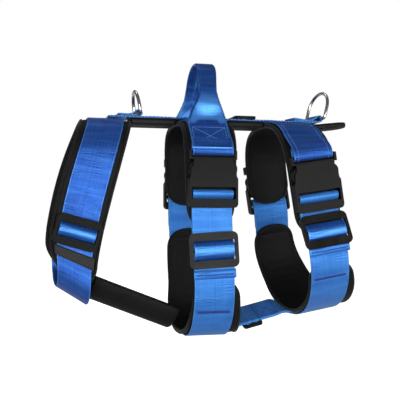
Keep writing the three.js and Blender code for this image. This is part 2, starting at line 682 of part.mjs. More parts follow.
// The slide lies flat on the spine webbing, its middle bar across the strap.
function addSpineSlide(floor) {
  const { x, width: across, length, window } = SPINE_SLIDE;
  const thickness = 3.4;
  const group = new THREE.Group();
  group.position.set(x, 0, floor);
  group.rotation.order = "ZYX";
  group.rotation.set(-Math.PI / 2, 0, Math.PI / 2);
  harness.add(group);
  const frame = roundedRectangle(across, length, 5);
  frame.holes.push(roundedRectangle(SPINE.width + 1.6, window, 2));
  const body = toSolid(extrudeAlongY(frame, outward(thickness), 0));
  const bar = toSolid(roundBarAlongX(1.4, SPINE.width + 3, outward(thickness / 2), 0));
  addPart("spine_slide", toGeometry(body.add(bar)), plasticMaterial(), group);
}

function addSpineTail() {
  const { from, length, width, thickness, height, bendFrom, rise } = SPINE_TAIL;
  const outline = new THREE.Shape();
  outline.moveTo(from, -width / 2);
  outline.lineTo(from + length - width / 2, -width / 2);
  outline.absarc(from + length - width / 2, 0, width / 2, -Math.PI / 2, Math.PI / 2);
  outline.lineTo(from, width / 2);
  outline.closePath();
  const geometry = extrude(outline, thickness);
  geometry.translate(0, 0, height - thickness / 2);
  vertexMap(geometry, (point) => { point.z += rise * Math.max(0, point.x - bendFrom); });
  addPart("spine_pad_tail", geometry, padMaterial());
}

// ---------- chest and belly straps ----------
// An arched strip between two points in the XZ plane: its cross section is an arc about the strap's
// own line, open upwards, and roll turns it about that line.
function archedStrip(start, end, radius, halfAngle, inner, outer, roll = 0) {
  const line = end.clone().sub(start);
  const length = line.length();
  const count = 10;
  const points = [];
  for (let i = 0; i <= count; i += 1) {
    const angle = -Math.PI / 2 + halfAngle * (i / count * 2 - 1);
    points.push(new THREE.Vector2(radius * Math.cos(angle), radius + radius * Math.sin(angle)));
  }
  const geometry = extrudeAlongX(bandShape(points, -outer, -inner), length);
  geometry.rotateX(roll);
  geometry.rotateY(-Math.atan2(line.y, line.x));
  geometry.translate((start.x + end.x) / 2, 0, (start.y + end.y) / 2);
  return geometry;
}

function addChestStrap() {
  const { start, end, radius, halfAngle, thickness, webbingShare, webbingDepth } = CHEST;
  const webbingHalf = halfAngle * webbingShare;
  const bottom = -webbingDepth - WEBBING_THICKNESS;
  const overshoot = end.clone().sub(start).setLength(5);
  const pad = toSolid(archedStrip(start, end, radius, halfAngle, -thickness, 0));
  const channel = toSolid(archedStrip(start.clone().sub(overshoot), end.clone().add(overshoot),
    radius, webbingHalf + 0.02, bottom - GAP, 2));
  addPart("chest_pad", toGeometry(pad.subtract(channel)), padMaterial());
  addPart("chest_webbing",
    archedStrip(start, end, radius, webbingHalf, bottom, -webbingDepth), webbingMaterial());
}

function addBellyStrap() {
  const { start, end, width, roll, slideAt, slideLength } = BELLY;
  const direction = end.clone().sub(start);
  const slope = -Math.atan2(direction.y, direction.x);
  const strap = block(direction.length(), width, 2 * WEBBING_THICKNESS);
  const place = (geometry) => {
    geometry.rotateX(roll);
    geometry.rotateY(slope);
    return geometry;
  };
  const middle = start.clone().add(end).multiplyScalar(0.5);
  const strapGeometry = place(strap);
  strapGeometry.translate(middle.x, 0, middle.y);
  addPart("belly_strap", strapGeometry, webbingMaterial());
  const frame = roundedRectangle(slideLength, width + 9, 4);
  frame.holes.push(roundedRectangle(slideLength - 12, width + 1.6, 1.5));
  const thickness = 3.2;
  const slide = extrude(frame, thickness);
  slide.translate(0, 0, -WEBBING_THICKNESS - GAP - thickness);
  const bar = new THREE.CylinderGeometry(1.4, 1.4, width + 4, 12);
  bar.translate(0, 0, -WEBBING_THICKNESS - GAP - thickness / 2);
  const slideGeometryJoined = place(toGeometry(toSolid(slide).add(toSolid(bar))));
  const at = start.clone().lerp(end, slideAt);
  slideGeometryJoined.translate(at.x, 0, at.y);
  addPart("belly_slide", slideGeometryJoined, plasticMaterial());
}

addNeck();
addGirth("front", FRONT, {
  saddle: FRONT_SADDLE, belly: FRONT_BELLY,
  mouthHeight: FRONT_MOUTH, tails: FRONT_TAILS, slide: FRONT_SLIDE,
});
addGirth("rear", REAR, {
  saddle: REAR_SADDLE, belly: REAR_BELLY,
  mouthHeight: REAR_MOUTH, tails: REAR_TAILS, slide: REAR_SLIDE,
});
addHandle();
addSpine();
addSpineTail();
addChestStrap();
addBellyStrap();

harness.position.set(-ORIGIN.x, 0, -ORIGIN.z);

export default harness;
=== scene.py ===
"""Looks of a three-strap padded dog harness: blue satin webbing sewn on black padding, with plastic
side-release buckles and slides, two steel D-rings and a webbing handle.

Lengths are in millimetres in the harness frame: Z = 0 is its lowest point, X = 0 is the front girth,
+X runs to the tail and -Y is the dog's left. Mesh points are changed to the row frame, in metres,
when a piece is built.
"""
import json
import math
import bmesh
import bpy
import numpy as np
from mathutils import Matrix, Vector


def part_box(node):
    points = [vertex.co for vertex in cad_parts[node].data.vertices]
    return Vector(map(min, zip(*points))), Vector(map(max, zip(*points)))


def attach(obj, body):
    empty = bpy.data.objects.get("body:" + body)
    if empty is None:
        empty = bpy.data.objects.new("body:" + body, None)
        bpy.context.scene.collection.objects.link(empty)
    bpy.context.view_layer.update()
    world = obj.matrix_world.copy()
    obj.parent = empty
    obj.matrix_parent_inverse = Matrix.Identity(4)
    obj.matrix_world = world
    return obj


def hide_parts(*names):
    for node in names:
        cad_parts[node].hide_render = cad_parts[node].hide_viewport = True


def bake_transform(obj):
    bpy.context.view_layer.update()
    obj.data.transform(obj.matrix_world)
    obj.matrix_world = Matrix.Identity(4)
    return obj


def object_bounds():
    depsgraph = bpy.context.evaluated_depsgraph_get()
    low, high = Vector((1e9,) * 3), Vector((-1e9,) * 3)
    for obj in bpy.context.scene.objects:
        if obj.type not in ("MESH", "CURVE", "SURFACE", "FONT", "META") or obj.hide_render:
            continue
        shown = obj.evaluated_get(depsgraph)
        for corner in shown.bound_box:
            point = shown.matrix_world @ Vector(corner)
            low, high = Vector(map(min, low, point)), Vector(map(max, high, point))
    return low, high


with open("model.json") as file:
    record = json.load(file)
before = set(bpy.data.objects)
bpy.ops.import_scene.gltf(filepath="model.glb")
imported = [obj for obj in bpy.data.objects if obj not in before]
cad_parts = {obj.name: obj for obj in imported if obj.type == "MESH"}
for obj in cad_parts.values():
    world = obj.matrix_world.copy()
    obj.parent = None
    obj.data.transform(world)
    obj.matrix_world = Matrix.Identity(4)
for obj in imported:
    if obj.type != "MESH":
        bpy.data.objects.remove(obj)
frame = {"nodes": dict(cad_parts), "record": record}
cad_low, cad_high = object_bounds()

# ---------- where the harness lies in the row frame ----------
MM = 0.001
GIRTH_MIDDLE = 1.5
plug_low, plug_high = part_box("front_left_plug")
SHIFT = np.array([(plug_low.x + plug_high.x) / 2 - GIRTH_MIDDLE * MM, 0.0, cad_low.z])
BODY_OF = {
    node: body
    for body, nodes in frame["record"]["behaviour"]["bodies"].items()
    for node in nodes
}

# ---------- sizes ----------
WEBBING = 50.0
WEBBING_THICKNESS = 1.8
HALF_THICK = WEBBING_THICKNESS / 2
WEBBING_TOP = HALF_THICK + 0.05
SEWN_HALF = 19.5
TACK_HALF = 20.0
GAP = 0.3
NECK_WEBBING = 44.0
PAD_END_HALF = 30.0
PAD_WIDENING = 70.0
PAD_INNER = -6.0
PAD_OUTER = -0.7
BACK_HEIGHT = 271.0
STEP = 3.0


def smoothstep(x, low, high):
    """0 below low, 1 above high, and smooth between them."""
    t = np.clip((np.asarray(x, float) - low) / (high - low), 0, 1)
    return t * t * (3 - 2 * t)


def set_all(target, values):
    """Sets several attributes."""
    for name, value in values.items():
        setattr(target, name, value)


class Loop:
    """A flat-topped hoop: superellipse quarters above and below straight sides, drawn in (Y, Z)."""

    top = BACK_HEIGHT
    flare_by = 0.0
    flare_from = 1.0
    flare_to = 0.0

    def __init__(self, sweep, **sizes):
        self.sweep = sweep
        self.lean = lambda z: np.arctan((sweep(z + 1) - sweep(z - 1)) / 2)
        set_all(self, sizes)

    def flare(self, z):
        """Extra half width of the lower run at a height."""
        span = self.flare_from - self.flare_to
        return self.flare_by * np.clip((self.flare_from - z) / span, 0, 1)

    def turn(self, z):
        """How far the strap's cross lines are turned at a height, seen from the side."""
        return self.lean(z) * smoothstep(self.top - z, 6, self.level_depth)

    def side(self, side, height, upwards):
        """Points (Y, Z) of one side, from a height to the middle of the top or the bottom."""
        limit, end, power = (
            (self.upper, self.top, self.upper_power)
            if upwards
            else (self.lower, self.bottom, self.lower_power)
        )
        rise = abs(end - limit)
        away = 1 if upwards else -1
        half = self.half_width + (0 if upwards else self.flare_by)
        points = []
        straight = (limit - height) * away
        first = 0.0
        if straight > 0:
            for share in np.linspace(0, 1, math.ceil(straight / 12), endpoint=False):
                z = height + away * straight * share
                flare = 0.0 if upwards else float(self.flare(z))
                points.append((side * (self.half_width + flare), z))
        else:
            first = math.asin(((height - limit) * away / rise) ** (power / 2))
        for angle in np.linspace(first, math.pi / 2, 12):
            y = side * half * max(0.0, math.cos(angle)) ** (2 / power)
            points.append((y, limit + away * rise * math.sin(angle) ** (2 / power)))
        return points

    def run(self, left, right, upwards):
        """The line over the top or under the bottom, from a height on the left to one on the right."""
        return self.side(-1, left, upwards) + self.side(1, right, upwards)[-2::-1]


NECK = Loop(
    lambda z: -161 + 42 * np.maximum(0, (z - 105) / 167) ** 1.35,
    lean=lambda z: 0.25 + 0.32 * smoothstep(150 - z, 0, 95),
    level_depth=100, half_width=58.0,
    upper=198, upper_power=2.6, bottom=56, lower=82, lower_power=2.3,
)
FRONT = Loop(
    lambda z: 1.5 + 4.5 * smoothstep(160 - z, 0, 110),
    level_depth=40, half_width=66.0,
    upper=212, upper_power=3, bottom=2, lower=84, lower_power=2.6,
)
REAR = Loop(
    lambda z: 113 + 0.068 * np.maximum(0, BACK_HEIGHT + 12 - z) ** 1.15,
    level_depth=45, half_width=86.0, flare_by=12.0, flare_from=155, flare_to=118,
    upper=200, upper_power=2.7, bottom=29, lower=116, lower_power=2.2,
)

# Buckles: the mouth of each socket, and the bars the webbing turns round.
FRONT_MOUTH = 221.0
REAR_MOUTH = 217.0
REAR_TILT = -0.151
BUCKLE_MIDDLE = 6.8
PLUG_BAR = {"height": 6.6, "radius": 2.4}
PLUG_TURN = PLUG_BAR["radius"] + GAP + HALF_THICK
SOCKET_BAR = {"depth": 42.5, "radius": 2.6}

# Heights above a mouth: where upper webbing begins to lie on its pad, and where its sewing begins.
LIES_FROM = 33.0
SEWN_FROM = 14.0

# Heights of the slides, of the joins of the neck webbing (left, right) and of the neck keeper's ends.
FRONT_SLIDE = 110.5
REAR_SLIDE = 134.0
NECK_SLIDE = 132.0
NECK_SPLIT = (148.0, 112.0)
KEEPER = (97.5, 110.5)


# ---------- lines and strips ----------
def unit(vectors):
    return vectors / np.maximum(np.linalg.norm(vectors, axis=-1, keepdims=True), 1e-12)


def distances(points):
    return np.concatenate([[0], np.cumsum(np.linalg.norm(np.diff(points, axis=0), axis=1))])


def spaced(points, step):
    """The same line with points at equal steps."""
    along = distances(points)
    at = np.linspace(0, along[-1], max(3, int(round(along[-1] / step)) + 1))
    return np.column_stack([np.interp(at, along, column) for column in points.T])


def smooth_line(points, step=STEP):
    """A smooth line through points, at equal steps."""
    points = np.asarray(points, float)
    keep = np.concatenate([[True], np.linalg.norm(np.diff(points, axis=0), axis=1) > 1e-6])
    points = points[keep]
    knots = distances(points)
    slopes = np.gradient(points, knots, axis=0)
    at = np.linspace(0, knots[-1], int(knots[-1] / 0.4) + 2)
    i = np.clip(np.searchsorted(knots, at, side="right") - 1, 0, len(knots) - 2)
    span = (knots[i + 1] - knots[i])[:, None]
    t = (at - knots[i])[:, None] / span
    line = (
        (2 * t**3 - 3 * t**2 + 1) * points[i]
        + (t**3 - 2 * t**2 + t) * span * slopes[i]
        + (3 * t**2 - 2 * t**3) * points[i + 1]
        + (t**3 - t**2) * span * slopes[i + 1]
    )
    return spaced(line, step)


def tangents(line):
    """Directions along an open line."""
    return unit(np.gradient(line, axis=0))


def leftward(line):
    """Directions to the left of a line drawn in a plane."""
    tangent = tangents(line)
    return np.column_stack([-tangent[:, 1], tangent[:, 0]])


def beside(points, offset):
    """The line moved to its left by an offset, in its own plane."""
    points = np.asarray(points, float)
    return points + offset * leftward(points)


def flat_points(points):
    """Points (X, Z) of the mid plane, in space."""
    points = np.asarray(points, float)
    return np.stack([points[..., 0], 0 * points[..., 0], points[..., 1]], axis=-1)


def round_tangent(points):
    """Directions along a closed line."""
    return unit(np.roll(points, -1, axis=0) - np.roll(points, 1, axis=0))


class Ribbon:
    """A strip in space: its middle line, the direction across it and the direction out of it."""

    def __init__(self, middle, across, out):
        self.middle = np.asarray(middle, float)
        self.across = unit(np.broadcast_to(np.asarray(across, float), self.middle.shape))
        normal = unit(np.cross(tangents(self.middle), self.across))
        facing = np.sign(np.sum(normal * out, axis=1, keepdims=True))
        self.out = normal * np.where(facing == 0, 1, facing)
        self.along = distances(self.middle)
        self.length = self.along[-1]

    def mixed(self, rows, along):
        """Values given at the points of the line, at distances along it."""
        flat = [np.interp(along, self.along, column) for column in rows.T]
        return np.stack(flat, axis=-1)

    def at(self, along, across, out):
        """Points at distances along, across and out from the middle line."""
        along, across, out = np.broadcast_arrays(along, across, out)
        return (
            self.mixed(self.middle, along)
            + self.mixed(self.across, along) * across[..., None]
            + self.mixed(self.out, along) * out[..., None]
        )

    def along_at(self, height, side):
        """How far along the strip its middle is at a height on one side (-1 left, +1 right)."""
        on_side = self.middle[:, 1] * side > 0
        gap = np.where(on_side, np.abs(self.middle[:, 2] - height), np.inf)
        return self.along[int(np.argmin(gap))]


def loop_ribbon(loop, line, outward=1):
    """A strip whose middle follows a line drawn in a loop's (Y, Z) plane."""
    z = line[:, 1]
    turn = loop.turn(z)
    out = outward * np.column_stack([0 * z, leftward(line)])
    across = np.column_stack([np.cos(turn), 0 * z, -np.sin(turn)])
    return Ribbon(np.column_stack([loop.sweep(z), line]), across, out)


def fade_ends(x, start, end, reach):
    """0 at both ends of a stretch and 1 between them."""
    return smoothstep(x, start, start + reach) * smoothstep(end - x, 0, reach)


def ripple(along, across, seed):
    """A small unevenness, about -1 to 1, that runs mostly across a strap."""
    random = np.random.default_rng(seed)
    total = 0.0
    for wavelength in (8.0, 13.0, 22.0, 47.0):
        phase = random.uniform(0, 2 * math.pi)
        skew = random.uniform(-0.015, 0.015)
        swell = 0.6 + 0.4 * np.sin(across / 14 + phase * 3)
        share = wavelength / 47
        total = total + share * swell * np.sin(
            2 * math.pi * (along / wavelength + skew * across) + phase)
    return total / 1.6


# ---------- building meshes ----------
# A stitch has a point at each end, with two rings of five points between them.
THREAD_FACES = (
    [(0, 1 + (k + 1) % 5, 1 + k) for k in range(5)]
    + [(1 + k, 1 + (k + 1) % 5, 6 + (k + 1) % 5, 6 + k) for k in range(5)]
    + [(11, 6 + k, 6 + (k + 1) % 5) for k in range(5)]
)


def new_object(name, data):
    """An object in the scene."""
    made = bpy.data.objects.new(name, data)
    bpy.context.scene.collection.objects.link(made)
    return made


class Shape:
    """Points, faces and a weave coordinate per point, gathered into one mesh."""

    def __init__(self):
        self.points = []
        self.weave = []
        self.faces = []
        self.slots = []
        self.count = 0

    def add(self, points, weave, faces, slot):
        """Points with faces between them; the slot is the number of the faces' material."""
        points = np.asarray(points, float).reshape(-1, 3)
        weave = np.broadcast_to(np.asarray(weave, float), points.shape)
        self.points.append(points)
        self.weave.append(weave)
        self.faces.extend([tuple(self.count + i for i in face) for face in faces])
        self.slots.extend([slot] * len(faces))
        self.count += len(points)

    def tube(self, rings, weave=(0, 0, 0), slot=0, closed=False):
        """Rings of points joined along their length. Open tubes end in a ladder of quads."""
        rows, columns = rings.shape[:2]
        index = np.arange(rows * columns).reshape(rows, columns)
        start = np.vstack([index, index[:1]]) if closed else index
        after = np.roll(start, -1, axis=1)
        faces = np.stack([start[:-1], after[:-1], after[1:], start[1:]], axis=-1).reshape(-1, 4).tolist()
        for row, way in () if closed else ((index[0], 1), (index[-1], -1)):
            near, far = row[:columns // 2], row[::-1][:columns // 2]
            ladder = np.stack([near[:-1], far[:-1], far[1:], near[1:]], axis=-1)
            faces += ladder[:, ::way].tolist()
        self.add(rings, np.asarray(weave, float).reshape(-1, 3), faces, slot)

    def closed_tube(self, points, side, out, half_width, half_height, count, slot=0, power=1.0):
        """A tube round a closed line. A power under 1 makes its section squarer."""
        angles = np.linspace(0, 2 * math.pi, count, endpoint=False)
        across = half_width * np.cos(angles)
        up = half_height * np.sign(np.sin(angles)) * np.abs(np.sin(angles)) ** power
        rings = points[:, None] + side[:, None] * across[:, None] + out[:, None] * up[:, None]
        run = distances(points)[:, None]
        weave = np.stack(np.broadcast_arrays(angles, run, 0 * run), axis=-1)
        self.tube(rings, weave, slot, closed=True)

    def thread(self, start, end, radius, slot):
        """One stitch: a short pointed capsule between two points."""
        run = end - start
        side = unit(np.cross(unit(run), (0.31, 0.67, 0.67)))
        up = np.cross(unit(run), side)
        angles = 2 * math.pi * np.arange(5)[:, None] / 5
        ring = radius * (np.cos(angles) * side + np.sin(angles) * up)
        points = np.vstack([start, start + 0.18 * run + ring, start + 0.82 * run + ring, end])
        self.add(points, (0, 0, 0), THREAD_FACES, slot)

    def build(self, name, materials):
        points = np.concatenate(self.points) * MM + SHIFT
        mesh = bpy.data.meshes.new(name)
        mesh.from_pydata(points.tolist(), [], self.faces)
        mesh.polygons.foreach_set("material_index", self.slots)
        attribute = mesh.attributes.new("weave", "FLOAT_VECTOR", "POINT")
        attribute.data.foreach_set("vector", np.concatenate(self.weave).astype(np.float32).ravel())
        for material in materials:
            mesh.materials.append(material)
        work = bmesh.new()
        work.from_mesh(mesh)
        bmesh.ops.recalc_face_normals(work, faces=work.faces)
        work.to_mesh(mesh)
        work.free()
        mesh.shade_smooth()
        return new_object(name, mesh)


def stand_for(piece, slot, *nodes):
    """The piece is shown instead of CAD nodes, and rides on the body of the first one."""
    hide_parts(*nodes)
    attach(piece, BODY_OF[nodes[0]])


def flat_section(width, thickness, columns=15):
    """Cross section of a flat strap with rounded selvedges, as a ring of (across, out) points."""
    half, t = width / 2, thickness / 2
    middle = np.linspace(-(half - t), half - t, columns)
    upper = [(-half, 0.25 * t), (-half + 0.35 * t, 0.8 * t)]
    upper += [(u, t) for u in middle]
    upper += [(half - 0.35 * t, 0.8 * t), (half, 0.25 * t)]
    return np.array(upper + [(u, -h) for u, h in reversed(upper)])


def add_strap(shape, ribbon, width=WEBBING, thickness=WEBBING_THICKNESS, start=0.0, end=None,
              lift=0.0, flutter=0.0, seed=1, columns=15):
    """A flat strap along part of a ribbon, a little uneven by flutter."""
    end = ribbon.length if end is None else end
    along = np.linspace(start, end, max(3, int((end - start) / STEP) + 1))[:, None]
    section = flat_section(width, thickness, columns)
    across, out = section[:, 0][None, :], section[:, 1][None, :]
    fade = fade_ends(along, start, end, 12)
    rings = ribbon.at(along, across, out + lift + flutter * fade * ripple(along, across, seed))
    weave = np.stack(np.broadcast_arrays(across, along, width / 2 + 0 * along), axis=-1)
    shape.tube(rings, weave)


def add_stitches(shape, ribbon, path, out, pitch=3.0, share=0.7, radius=0.34, slot=1):
    """Stitches along a path of (along, across) points, lying on the ribbon's surface."""
    line = spaced(np.asarray(path, float), 0.5)
    length = distances(line)
    count = max(1, int(length[-1] / pitch))
    pitch = length[-1] / count
    for k in range(count):
        ends = np.array([(k + 0.5 - share / 2) * pitch, (k + 0.5 + share / 2) * pitch])
        along = np.interp(ends, length, line[:, 0])
        across = np.interp(ends, length, line[:, 1])
        a, b = ribbon.at(along, across, out)
        shape.thread(a, b, radius, slot)


def add_strokes(shape, ribbon, path, out, radius=0.45):
    """One thread from each point (along, across) of a path to the next."""
    points = ribbon.at(path[:, 0], path[:, 1], out)
    for start, end in zip(points[:-1], points[1:]):
        shape.thread(start, end, radius, 1)


def box_stitches(shape, ribbon, along, half, out, **options):
    """A sewn box with an X in it, between two distances along a ribbon."""
    low, high = along
    corners = [(low, -half), (high, -half), (high, half), (low, half), (low, -half)]
    add_stitches(shape, ribbon, corners, out, **options)
    add_stitches(shape, ribbon, [corners[0], corners[2]], out, **options)
    add_stitches(shape, ribbon, [corners[1], corners[3]], out + 0.15, **options)


def zigzag(start, end, middle, reach, pitch):
    """Points (along, across) of a zigzag between two distances along a strap."""
    count = max(2, int((end - start) / pitch))
    along = np.linspace(start, end, count + 1)
    across = middle + reach * (np.arange(count + 1) % 2 * 2 - 1)
    return np.column_stack([along, across])


def zigzag_across(along, half, reach, pitch=1.2):
    """A zigzag across a strap, at one distance along it."""
    return zigzag(-half, half, along, reach, pitch)[:, ::-1]


def bar_tack(shape, ribbon, along, half, out):
    """A dense zigzag bar across a strap."""
    add_strokes(shape, ribbon, zigzag_across(along, half, 1.6), 1.3 * out, 0.75)


# ---------- materials ----------
class Nodes:
    """A small helper for writing node materials."""

    def __init__(self, name):
        self.material = bpy.data.materials.new(name)
        self.material.use_nodes = True
        self.tree = self.material.node_tree
        self.shader = self.tree.nodes["Principled BSDF"]

    def add(self, kind, inputs=None, **settings):
        node = self.tree.nodes.new(kind)
        set_all(node, settings)
        for key, value in (inputs or {}).items():
            self.set(node, key, value)
        return node

    def set(self, node, key, value):
        if isinstance(value, bpy.types.NodeSocket):
            self.tree.links.new(value, node.inputs[key])
        else:
            node.inputs[key].default_value = value

    def math(self, operation, *values):
        inputs = dict(enumerate(values))
        return self.add("ShaderNodeMath", inputs, operation=operation).outputs[0]

    def remap(self, value, low, high, to_low=0.0, to_high=1.0):
        inputs = {0: value, 1: low, 2: high, 3: to_low, 4: to_high}
        return self.add("ShaderNodeMapRange", inputs).outputs[0]

    def times(self, a, b):
        return self.math("MULTIPLY", a, b)

    def total(self, first, *others):
        for other in others:
            first = self.math("ADD", first, other)
        return first

    def scaled(self, vector, factors):
        return self.add("ShaderNodeVectorMath", {0: vector, 1: factors}, operation="MULTIPLY").outputs[0]

    def parts(self, vector):
        return self.add("ShaderNodeSeparateXYZ", {0: vector}).outputs

    def weave(self):
        """The weave coordinate of the mesh: across, along and half width, in millimetres."""
        weave = self.add("ShaderNodeAttribute", attribute_name="weave", attribute_type="GEOMETRY")
        return weave.outputs["Vector"]

    def place(self):
        return self.add("ShaderNodeTexCoord").outputs["Object"]

    def mix(self, factor, a, b):
        node = self.add("ShaderNodeMix", data_type="RGBA")
        self.set(node, 0, factor)
        self.set(node, 6, a)
        self.set(node, 7, b)
        return node.outputs[2]

    def noise(self, vector, scale, detail=3.0, roughness=0.55):
        inputs = {"Vector": vector, "Scale": scale, "Detail": detail, "Roughness": roughness}
        return self.add("ShaderNodeTexNoise", inputs).outputs["Fac"]

    def bump(self, height, strength, distance, normal=None):
        inputs = {"Height": height, "Strength": strength, "Distance": distance}
        if normal is not None:
            inputs["Normal"] = normal
        return self.add("ShaderNodeBump", inputs).outputs[0]

    def finish(self, **inputs):
        for key, value in inputs.items():
            self.set(self.shader, key.replace("_", " "), value)
        return self.material


def linear(r, g, b):
    """A colour given as 0-255 sRGB, as the linear values nodes take."""
    def one(value):
        value /= 255
        return value / 12.92 if value <= 0.04045 else ((value + 0.055) / 1.055) ** 2.4
    return (one(r), one(g), one(b), 1.0)


def webbing_material(name, colour, bright, shade, edges=0.25, glint=0.0, satin=0.5):
    """Satin woven webbing with warp ribs, crosswise ripples, brighter selvedges and a centre crease.

    A glint paints the colour brighter where it stands upright: a painted highlight.
    """
    n = Nodes(name)
    across, along, half = n.parts(n.weave())
    off_centre = n.math("ABSOLUTE", across)
    flat = n.add("ShaderNodeCombineXYZ", {0: across, 1: along}).outputs[0]
    stretched = n.scaled(flat, (0.35, 1.0, 1.0))
    level = n.scaled(flat, (0.06, 1.0, 1.0))
    lengthwise = n.scaled(flat, (1.0, 0.02, 1.0))
    selvedge = n.remap(n.math("SUBTRACT", half, off_centre), 0.4, 1.8, 1.0, 0.0)
    crease = n.remap(off_centre, 0.2, 1.1, 1.0, 0.0)
    broad = n.noise(stretched, 0.045, 2.0)
    bands = n.noise(level, 0.13, 2.0)
    fine = n.noise(level, 0.9, 2.0)
    streak = n.noise(lengthwise, 0.5, 2.0)
    warp = n.math("SINE", n.times(across, 2 * math.pi / 1.3))
    twill = n.math("SINE", n.times(n.total(along, off_centre), 2 * math.pi / 2.2))
    waved = n.total(n.times(along, 2 * math.pi / 3.4), n.times(n.noise(stretched, 0.11, 3.0), 14.0))
    patchy = n.remap(n.noise(flat, 0.05, 2.0), 0.45, 0.68)
    moire = n.times(n.math("SINE", waved), patchy)
    tone = n.mix(n.remap(broad, 0.3, 0.7), shade, colour)
    tone = n.mix(n.remap(bands, 0.45, 0.7, 0.0, 0.14), tone, bright)
    tone = n.mix(n.remap(streak, 0.4, 0.75, 0.0, 0.1), tone, bright)
    tone = n.mix(n.remap(moire, -1.0, 1.0, 0.0, 0.18), tone, shade)
    tone = n.mix(n.times(selvedge, edges), tone, bright)
    # Painted shade: the colour is darker along the centre crease.
    tone = n.mix(n.times(crease, 0.25), tone, shade)
    # Painted highlight: the colour goes towards the bright tone where the surface normal is near level.
    if glint:
        facing = n.parts(n.add("ShaderNodeNewGeometry").outputs["Normal"])[2]
        upright = n.remap(n.math("ABSOLUTE", facing), 0.12, 0.4, glint, 0.0)
        tone = n.mix(upright, tone, bright)
    height = n.total(n.times(warp, 0.25), n.times(twill, 0.2), n.times(moire, 0.8), n.times(fine, 1.6))
    height = n.math("SUBTRACT", height, n.times(crease, 0.7))
    return n.finish(
        Base_Color=tone, Roughness=n.remap(streak, 0.3, 0.7, 0.29, 0.4), Metallic=satin,
        Specular_Tint=bright, Sheen_Weight=0.12, Sheen_Roughness=0.4, Sheen_Tint=bright,
        Normal=n.bump(height, 0.5, 0.00035))


def fabric_material(name, colour, light):
    """Dense black knit over foam: a fine random pile, slightly uneven in tone."""
    n = Nodes(name)
    place = n.place()
    knit = n.add("ShaderNodeTexVoronoi", {"Vector": place, "Scale": 900.0}, feature="F1").outputs["Distance"]
    pile = n.noise(place, 495.0, 4.0, 0.6)
    broad = n.noise(place, 38.0, 3.0)
    tone = n.mix(n.remap(broad, 0.35, 0.7, 0.0, 0.8), colour, light)
    tone = n.mix(n.times(pile, 0.35), tone, light)
    height = n.total(n.times(knit, 0.7), pile)
    return n.finish(
        Base_Color=tone, Roughness=n.remap(pile, 0.3, 0.7, 0.55, 0.72), Specular_IOR_Level=0.13,
        Sheen_Weight=0.06, Sheen_Roughness=0.4, Sheen_Tint=light,
        Normal=n.bump(height, 0.45, 0.0004, n.bump(broad, 0.35, 0.0015)))


def binding_material(name, colour, light):
    """Ribbed binding tape along the edges of the padding."""
    n = Nodes(name)
    rib = n.math("SINE", n.times(n.parts(n.weave())[1], 2 * math.pi / 1.5))
    grain = n.noise(n.place(), 420.0, 3.0)
    return n.finish(
        Base_Color=n.mix(n.times(grain, 0.6), colour, light),
        Roughness=n.remap(grain, 0.3, 0.7, 0.42, 0.56), Specular_IOR_Level=0.16,
        Sheen_Weight=0.04, Normal=n.bump(n.total(rib, grain), 0.4, 0.00025))


def plastic_material(name, colour, light, roughness):
    """Moulded acetal with a fine spark texture and a painted highlight along its sharp edges."""
    n = Nodes(name)
    spark = n.noise(n.place(), 1500.0, 4.0, 0.6)
    flow = n.noise(n.place(), 60.0, 3.0)
    pointy = n.add("ShaderNodeNewGeometry").outputs["Pointiness"]
    # Painted highlight: lighter where the surface is pointy, along the edges.
    painted_edge_highlight = n.times(n.remap(pointy, 0.52, 0.6, 0.0, 0.6), n.remap(spark, 0.3, 0.7, 0.4, 1.0))
    tone = n.mix(n.remap(flow, 0.3, 0.7, 0.0, 0.35), colour, light)
    return n.finish(
        Base_Color=n.mix(painted_edge_highlight, tone, light), Roughness=n.total(n.times(spark, 0.16), roughness - 0.08),
        Specular_IOR_Level=0.08, Normal=n.bump(spark, 0.25, 0.00012))


def steel_material(name):
    """Nickel-plated wire with faint drawn lines and a few duller patches."""
    n = Nodes(name)
    drawn = n.noise(n.scaled(n.weave(), (6.0, 0.05, 1.0)), 1.0, 3.0)
    dull = n.noise(n.place(), 90.0, 3.0)
    tone = n.mix(n.remap(dull, 0.4, 0.7), linear(226, 226, 224), linear(178, 176, 172))
    return n.finish(
        Base_Color=tone, Metallic=1.0, Roughness=n.remap(dull, 0.3, 0.75, 0.12, 0.26),
        Normal=n.bump(drawn, 0.15, 0.0001))


def thread_material(name, colour, light):
    """Twisted sewing thread."""
    n = Nodes(name)
    twist = n.noise(n.place(), 2600.0, 2.0)
    return n.finish(
        Base_Color=n.mix(twist, colour, light), Roughness=n.remap(twist, 0.3, 0.7, 0.5, 0.7),
        Normal=n.bump(twist, 0.5, 0.0001))


BLUE = webbing_material(
    "blue_webbing", linear(50, 109, 182), linear(104, 172, 232), linear(39, 88, 160), satin=0.3)
# A darker copy of the blue webbing: painted shade for the webbing over the back and round the neck.
SHADED_BLUE = webbing_material(
    "shaded_blue_webbing", linear(38, 80, 158), linear(88, 154, 234), linear(28, 54, 122), edges=0.5)
# A darker copy of the blue webbing, painted shade, with a painted highlight where the handle stands upright.
GLINT = webbing_material(
    "glinting_webbing", linear(34, 74, 152), linear(88, 158, 236), linear(24, 50, 116),
    edges=0.5, glint=0.75)
